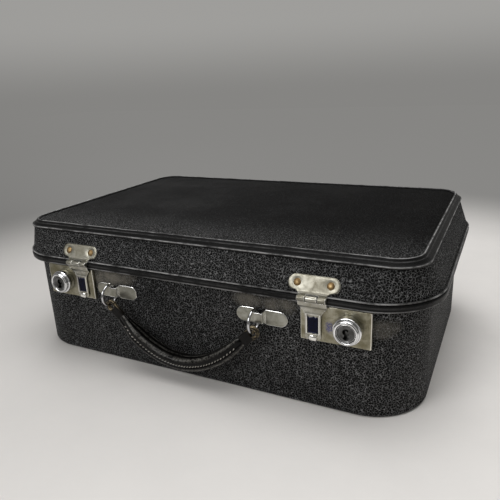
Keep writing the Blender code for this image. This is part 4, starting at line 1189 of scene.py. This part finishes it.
RINGS = {}
for label, _ in SIDES:
    ring_low, ring_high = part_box("handle_ring_" + label)
    RINGS[label] = (ring_low + ring_high) / 2
RING = RINGS["right"]
RING_WIRE = (ring_high.x - ring_low.x) / 2
RING_MEAN = (ring_high.z - ring_low.z) / 2 - RING_WIRE
GRIP_MIDDLE = (RINGS["left"].x + RINGS["right"].x) / 2
GRIP_X, GRIP_RISE = 52.5 * MM, 28 * MM
GRIP_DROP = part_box("handle_front_leather")[0].z + 5.3 * MM


def make_bracket(label):
    """Pressed strap: two flat pads and a short raised bridge that holds the ring."""
    low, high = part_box("handle_bracket_" + label)
    length = (high.x - low.x) / MM
    rise_at, fall_at, riser = 13.7, 22.0, 1.1

    def half_at(x):
        inner, outer = x, length - x
        if label == "left":
            end_out = min(5.6, 2.6 + 1.05 * outer)
        else:
            end_out = math.sqrt(max(0.0, 5.6 ** 2 - max(0.0, 5.6 - outer) ** 2))
        end_in = math.sqrt(max(0.0, 5.6 ** 2 - max(0.0, 5.6 - inner) ** 2))
        pad = max(0.9, min(end_in, end_out))
        bridge = smooth((x - rise_at + 0.5) / (riser + 0.6)) * smooth((fall_at + 0.5 - x) / (riser + 0.6))
        return mix(pad, 3.75, bridge)

    def lift_at(x):
        return 3.5 * smooth((x - rise_at) / riser) * smooth((fall_at - x) / riser)

    stations = [0, 0.15, 0.5, 1.1, 2.0, 3.2, 4.8, 7, 9.5, 11.5, 12.6, 13.2, 13.6, 13.85, 14.1, 14.4,
                14.7, 15.0, 15.6, 17, 18.7, 20, 20.5, 20.8, 21.1, 21.4, 21.65, 21.9, 22.2, 22.8, 24, 26,
                28, 30, 31.5, 32.8, 34.2, 35.4, 36.3, 36.9, 37.4, 37.8, length]
    columns = mirrored([-1, -0.985, -0.95, -0.88, -0.78, -0.6, -0.3, 0])
    rows = []
    for x in stations:
        half, lift = half_at(x), lift_at(x)
        row = []
        for c in columns:
            edge = min(1.0, (1 - abs(c)) * half / 1.1, x / 1.0, (length - x) / 1.0)
            crown = 0.42 * rounded(edge)
            belly = 0.16 * (1 - c * c)
            y = FRONT - (0.86 + lift + (crown + belly) * (1 - 0.5 * smooth(lift / 3.5))) * MM
            row.append(Vector((low.x + x * MM, y, RING.z + c * half * MM)))
        rows.append(row)
    shape = Shape()

    def polished(p):
        at = (p.x - low.x) / MM
        half = half_at(at)
        rim = smooth((abs(p.z - RING.z) / MM - half + 1.0) / 0.7)
        step = math.exp(-((at - fall_at + 0.35) / 0.55) ** 2)
        step += math.exp(-((at - rise_at - 0.35) / 0.55) ** 2)
        return max(0.9 * rim, min(1.0, step))

    shape.sheet(rows, 0.62 * MM, (0, -1, 0), wear=polished)
    shape.done("handle_bracket_" + label + "_pressed", BRACKET, "base", ["handle_bracket_" + label],
               bevel=0.12 * MM, angle=50)


def make_ring(label):
    rings = []
    for k in range(96):
        angle = 2 * math.pi * k / 96
        outward = Vector((0, math.cos(angle), math.sin(angle)))
        centre = RINGS[label] + outward * RING_MEAN
        wire = RING_WIRE * (1 + 0.03 * math.sin(3 * angle))
        rings.append(disc(centre, outward, Vector((1, 0, 0)), wire, 20))
    shape = Shape()
    shape.loft(rings, [0.5] * len(rings), wrap=True)
    shape.done("ring_wire_" + label, CHROME, "ring_" + label, ["handle_ring_" + label])


def grip_point(share):
    slope = 2 * GRIP_RISE * share / GRIP_X
    tangent = Vector((1, 0, slope)).normalized()
    return Vector((GRIP_MIDDLE + share * GRIP_X, RING.y, GRIP_DROP + GRIP_RISE * share * share)), tangent


def grip_scale(share):
    """In-plane and depth scale: the ends flatten into the eyes."""
    fade = smooth((abs(share) - 0.70) / 0.29)
    return 1 - 0.22 * fade, 1 - 0.60 * fade


# across the grip (outer edge negative) and depth towards the front, in millimetres, with a wear share that
# the handle finish paints grey as rubbing and as highlight streaks
FRONT_SECTION = [(-5.28, 0.10, 0.4), (-5.3, 0.45, 0.8), (-5.22, 0.85, 0.9), (-4.98, 1.05, 0.2),
                 (-4.86, 1.3, 0), (-4.9, 2.1, 0), (-4.86, 3.2, 0.1), (-4.62, 4.3, 0.5),
                 (-4.15, 5.1, 1.0), (-3.5, 5.58, 0.8), (-2.7, 5.78, 0.2), (-1.9, 5.75, 0),
                 (-1.35, 5.5, 0), (-1.0, 5.18, 0), (-0.65, 5.05, 0), (-0.3, 5.18, 0), (0.1, 5.52, 0),
                 (0.8, 5.85, 0), (1.7, 6.0, 0), (2.6, 5.9, 0.1), (3.4, 5.6, 0.4), (4.1, 5.05, 0.9),
                 (4.6, 4.25, 0.7), (4.9, 3.2, 0.1), (5.02, 2.0, 0), (5.05, 1.0, 0), (5.2, 0.6, 0.4),
                 (5.22, 0.10, 0.3)]


def grip_frame(share):
    centre, tangent = grip_point(share)
    return centre, tangent, Vector((-tangent.z, 0, tangent.x))


def make_grip():
    stations = 96
    reach = 0.985
    for name, node, face in (("grip_front", ["handle_front_leather", "handle_core"], -1),
                             ("grip_back", ["handle_back_leather"], 1)):
        rings = []
        for k in range(stations + 1):
            share = reach * (2 * k / stations - 1)
            centre, _, normal = grip_frame(share)
            wide, deep = grip_scale(share)
            close = smooth((reach - abs(share)) / 0.02)
            wide *= mix(0.86, 1.0, close)
            deep *= mix(0.7, 1.0, close)
            ring = []
            for across, depth, _ in FRONT_SECTION:
                crease = 0.06 * noise.noise(Vector((share * 60, across * 0.5, depth * 0.5 * face)))
                ring.append(centre + normal * (across * wide * MM)
                            + Vector((0, face * (depth * deep + (crease if depth > 2 else 0)) * MM, 0)))
            rings.append(ring)
        shape = Shape()
        wear = [[w for _, _, w in FRONT_SECTION]] * len(rings)
        shape.loft(rings, wear)
        shape.done(name, HANDLE, "handle", node, angle=60)


STITCHES = 40


def make_stitches():
    """Slanted saddle stitches in the groove of each face."""
    for name, face in (("grip_stitches_front", -1), ("grip_stitches_back", 1)):
        shape = Shape()
        count = STITCHES
        for k in range(count):
            share = 0.90 * (2 * (k + 0.5) / count - 1)
            centre, tangent, normal = grip_frame(share)
            wide, deep = grip_scale(share)
            groove = centre + normal * (-0.65 * wide * MM) + Vector((0, face * (5.12 * deep + 0.12) * MM,
                                                                     0))
            lay = (tangent * math.cos(0.32) + normal * math.sin(0.32)).normalized()
            out = Vector((0, face, 0))
            across = lay.cross(out)
            rings = []
            for d, radius, sink in ((-0.95, 0.06, -0.16), (-0.84, 0.22, -0.04), (-0.5, 0.32, 0.08),
                                    (0, 0.34, 0.14),
                                    (0.5, 0.32, 0.08), (0.84, 0.22, -0.04), (0.95, 0.06, -0.16)):
                middle = groove + lay * (d * MM) + out * (sink * MM)
                rings.append(disc(middle, out, across, radius * MM, 8))
            shape.loft(rings)
        shape.done(name, THREAD, "handle", (), angle=80)


def make_eye(label, side):
    """Flat end of the handle with the hole that takes the ring."""
    hole, outer, tail, wide = 2.6, 4.7, 12.0, 4.05
    end = grip_point(side * 1.0)[0]
    centre = RINGS[label] + Vector((-side * 1.0 * MM, 0, -RING_MEAN - 1.1 * MM))
    to_grip = (end - centre).normalized()
    across = Vector((-to_grip.z, 0, to_grip.x))
    count = 72
    rings, wear = [], []
    half = 1.38
    for k in range(count):
        angle = 2 * math.pi * k / count
        c, s = math.cos(angle), math.sin(angle)
        reach = outer
        if c > 0.05:
            reach = max(outer, min(tail / c, wide / max(abs(s), 1e-6)))
        middle = (hole + reach) / 2
        section = [(hole, -0.85, 1), (hole + 0.1, -1.2, 1), (hole + 0.4, -half, 0.9),
                   (hole + 1.2, -half - 0.1, 0.35), (middle + 0.2, -half - 0.06, 0.1),
                   (reach - 0.45, -half, 0.5), (reach - 0.12, -1.15, 1), (reach, -0.75, 1),
                   (reach - 0.06, 0, 0.7), (reach, 0.75, 1), (reach - 0.12, 1.15, 1),
                   (reach - 0.45, half, 0.5), (middle + 0.2, half + 0.06, 0.1),
                   (hole + 1.2, half + 0.1, 0.35), (hole + 0.4, half, 0.9), (hole + 0.1, 1.2, 1),
                   (hole, 0.85, 1), (hole - 0.03, 0, 0.8)]
        fade = 1.0 if c < 0.5 else mix(1.0, 0.35, smooth((c - 0.5) / 0.4))
        rings.append([centre + to_grip * (r * c * MM) + across * (r * s * MM) + Vector((0, d * MM, 0))
                      for r, d, _ in section])
        wear.append([w * fade for _, _, w in section])
    shape = Shape()
    shape.loft(rings, wear, wrap=True)
    shape.done("grip_eye_" + label, EYE, "handle", ["handle_eye_" + label], angle=60)


# ---------------------------------------------------------------- carried-over CAD nodes

CARRIED = {
    "base_frame": BOARD, "lid_frame": BOARD, "lid_top_board": BOARD,
    "lock_case_left": STEEL, "lock_case_right": STEEL, "lock_bolt_left": STEEL, "lock_bolt_right": STEEL,
    "hasp_pin_left": STEEL, "hasp_pin_right": STEEL, "hinge_pin_left": STEEL, "hinge_pin_right": STEEL,
}


def dress_cad():
    for name, finish in CARRIED.items():
        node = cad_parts[name]
        node.data.materials.clear()
        node.data.materials.append(finish)


# ---------------------------------------------------------------- stage, light, camera

def make_stage():
    shape = Shape()
    steps, size = 24, 3.0
    verts = [[shape.mesh.verts.new((mix(-size, size, i / steps), mix(-size, size, j / steps), 0.0))
              for i in range(steps + 1)] for j in range(steps + 1)]
    for j in range(steps):
        for i in range(steps):
            shape.mesh.faces.new((verts[j][i], verts[j][i + 1], verts[j + 1][i + 1], verts[j + 1][i]))
    mesh = bpy.data.meshes.new("studio_floor")
    shape.mesh.to_mesh(mesh)
    shape.mesh.free()
    floor = bpy.data.objects.new("studio_floor", mesh)
    bpy.context.collection.objects.link(floor)
    mesh.materials.append(studio_floor())
    floor.location.z = -0.0001


def make_light(name, place, target, size, power):
    data = bpy.data.lights.new(name, "AREA")
    data.shape = "RECTANGLE"
    data.size, data.size_y = size
    data.energy = power
    lamp = bpy.data.objects.new(name, data)
    lamp.location = place
    lamp.rotation_mode = "QUATERNION"
    lamp.rotation_quaternion = (Vector(target) - Vector(place)).to_track_quat("-Z", "Y")
    bpy.context.collection.objects.link(lamp)


def make_world():
    world = bpy.data.worlds.new("studio")
    bpy.context.scene.world = world
    world.use_nodes = True
    tree = world.node_tree
    back = tree.nodes["Background"]
    place = tree.nodes.new("ShaderNodeTexCoord")
    split = tree.nodes.new("ShaderNodeSeparateXYZ")
    tree.links.new(place.outputs["Generated"], split.inputs[0])
    depth = tree.nodes.new("ShaderNodeMapRange")
    depth.interpolation_type = "SMOOTHSTEP"
    tree.links.new(split.outputs[1], depth.inputs[0])
    for slot, value in enumerate(BACKDROP, 1):
        depth.inputs[slot].default_value = value
    rise = tree.nodes.new("ShaderNodeMapRange")
    rise.interpolation_type = "SMOOTHSTEP"
    tree.links.new(split.outputs[2], rise.inputs[0])
    for slot, value in enumerate((-0.03, 0.10, 0.0, 0.11), 1):
        rise.inputs[slot].default_value = value
    total = tree.nodes.new("ShaderNodeMath")
    tree.links.new(depth.outputs[0], total.inputs[0])
    tree.links.new(rise.outputs[0], total.inputs[1])
    tree.links.new(total.outputs[0], back.inputs[1])
    back.inputs[0].default_value = BACKDROP_TINT


CAMERA_PLACE = (0.2000, -0.3933, 0.2132)
CAMERA_TURN, CAMERA_PITCH, CAMERA_ROLL = 27.31, 18.478, -2.715
CAMERA_LENS, CAMERA_SENSOR = 37.18, 36.0


def make_camera():
    data = bpy.data.cameras.new("view")
    data.sensor_width = CAMERA_SENSOR
    data.lens = CAMERA_LENS
    data.clip_start = 0.01
    camera = bpy.data.objects.new("view", data)
    bpy.context.collection.objects.link(camera)
    turn, pitch, roll = (math.radians(a) for a in (CAMERA_TURN, CAMERA_PITCH, CAMERA_ROLL))
    ahead = Vector((-math.sin(turn) * math.cos(pitch), math.cos(turn) * math.cos(pitch), -math.sin(pitch)))
    right = Vector((math.cos(turn), math.sin(turn), 0))
    up = right.cross(ahead)
    leaned_right = right * math.cos(roll) + up * math.sin(roll)
    leaned_up = up * math.cos(roll) - right * math.sin(roll)
    camera.matrix_world = Matrix((
        (leaned_right.x, leaned_up.x, -ahead.x, CAMERA_PLACE[0]),
        (leaned_right.y, leaned_up.y, -ahead.y, CAMERA_PLACE[1]),
        (leaned_right.z, leaned_up.z, -ahead.z, CAMERA_PLACE[2]),
        (0, 0, 0, 1)))
    bpy.context.scene.camera = camera
    bpy.context.scene.view_settings.view_transform = "Standard"


make_camera()
make_world()
make_stage()
make_light("key", (-0.45, -1.10, 0.75), (0, 0, 0.05), (0.7, 0.5), 7)
make_light("overhead", (0.10, 0.05, 1.40), (0.05, 0, 0.05), (1.4, 1.1), 13)
make_light("back", (-0.75, 0.75, 0.80), (0, 0, 0.08), (0.7, 0.35), 3.5)
make_light("side", (1.35, -0.45, 0.75), (0, 0, 0.05), (0.6, 0.9), 0.4)
make_base()
make_lid()
make_fittings()
for label, side in SIDES:
    make_lock(label, side)
    make_spring(label)
    make_bracket(label)
    make_ring(label)
    make_eye(label, side)
make_grip()
make_stitches()
dress_cad()
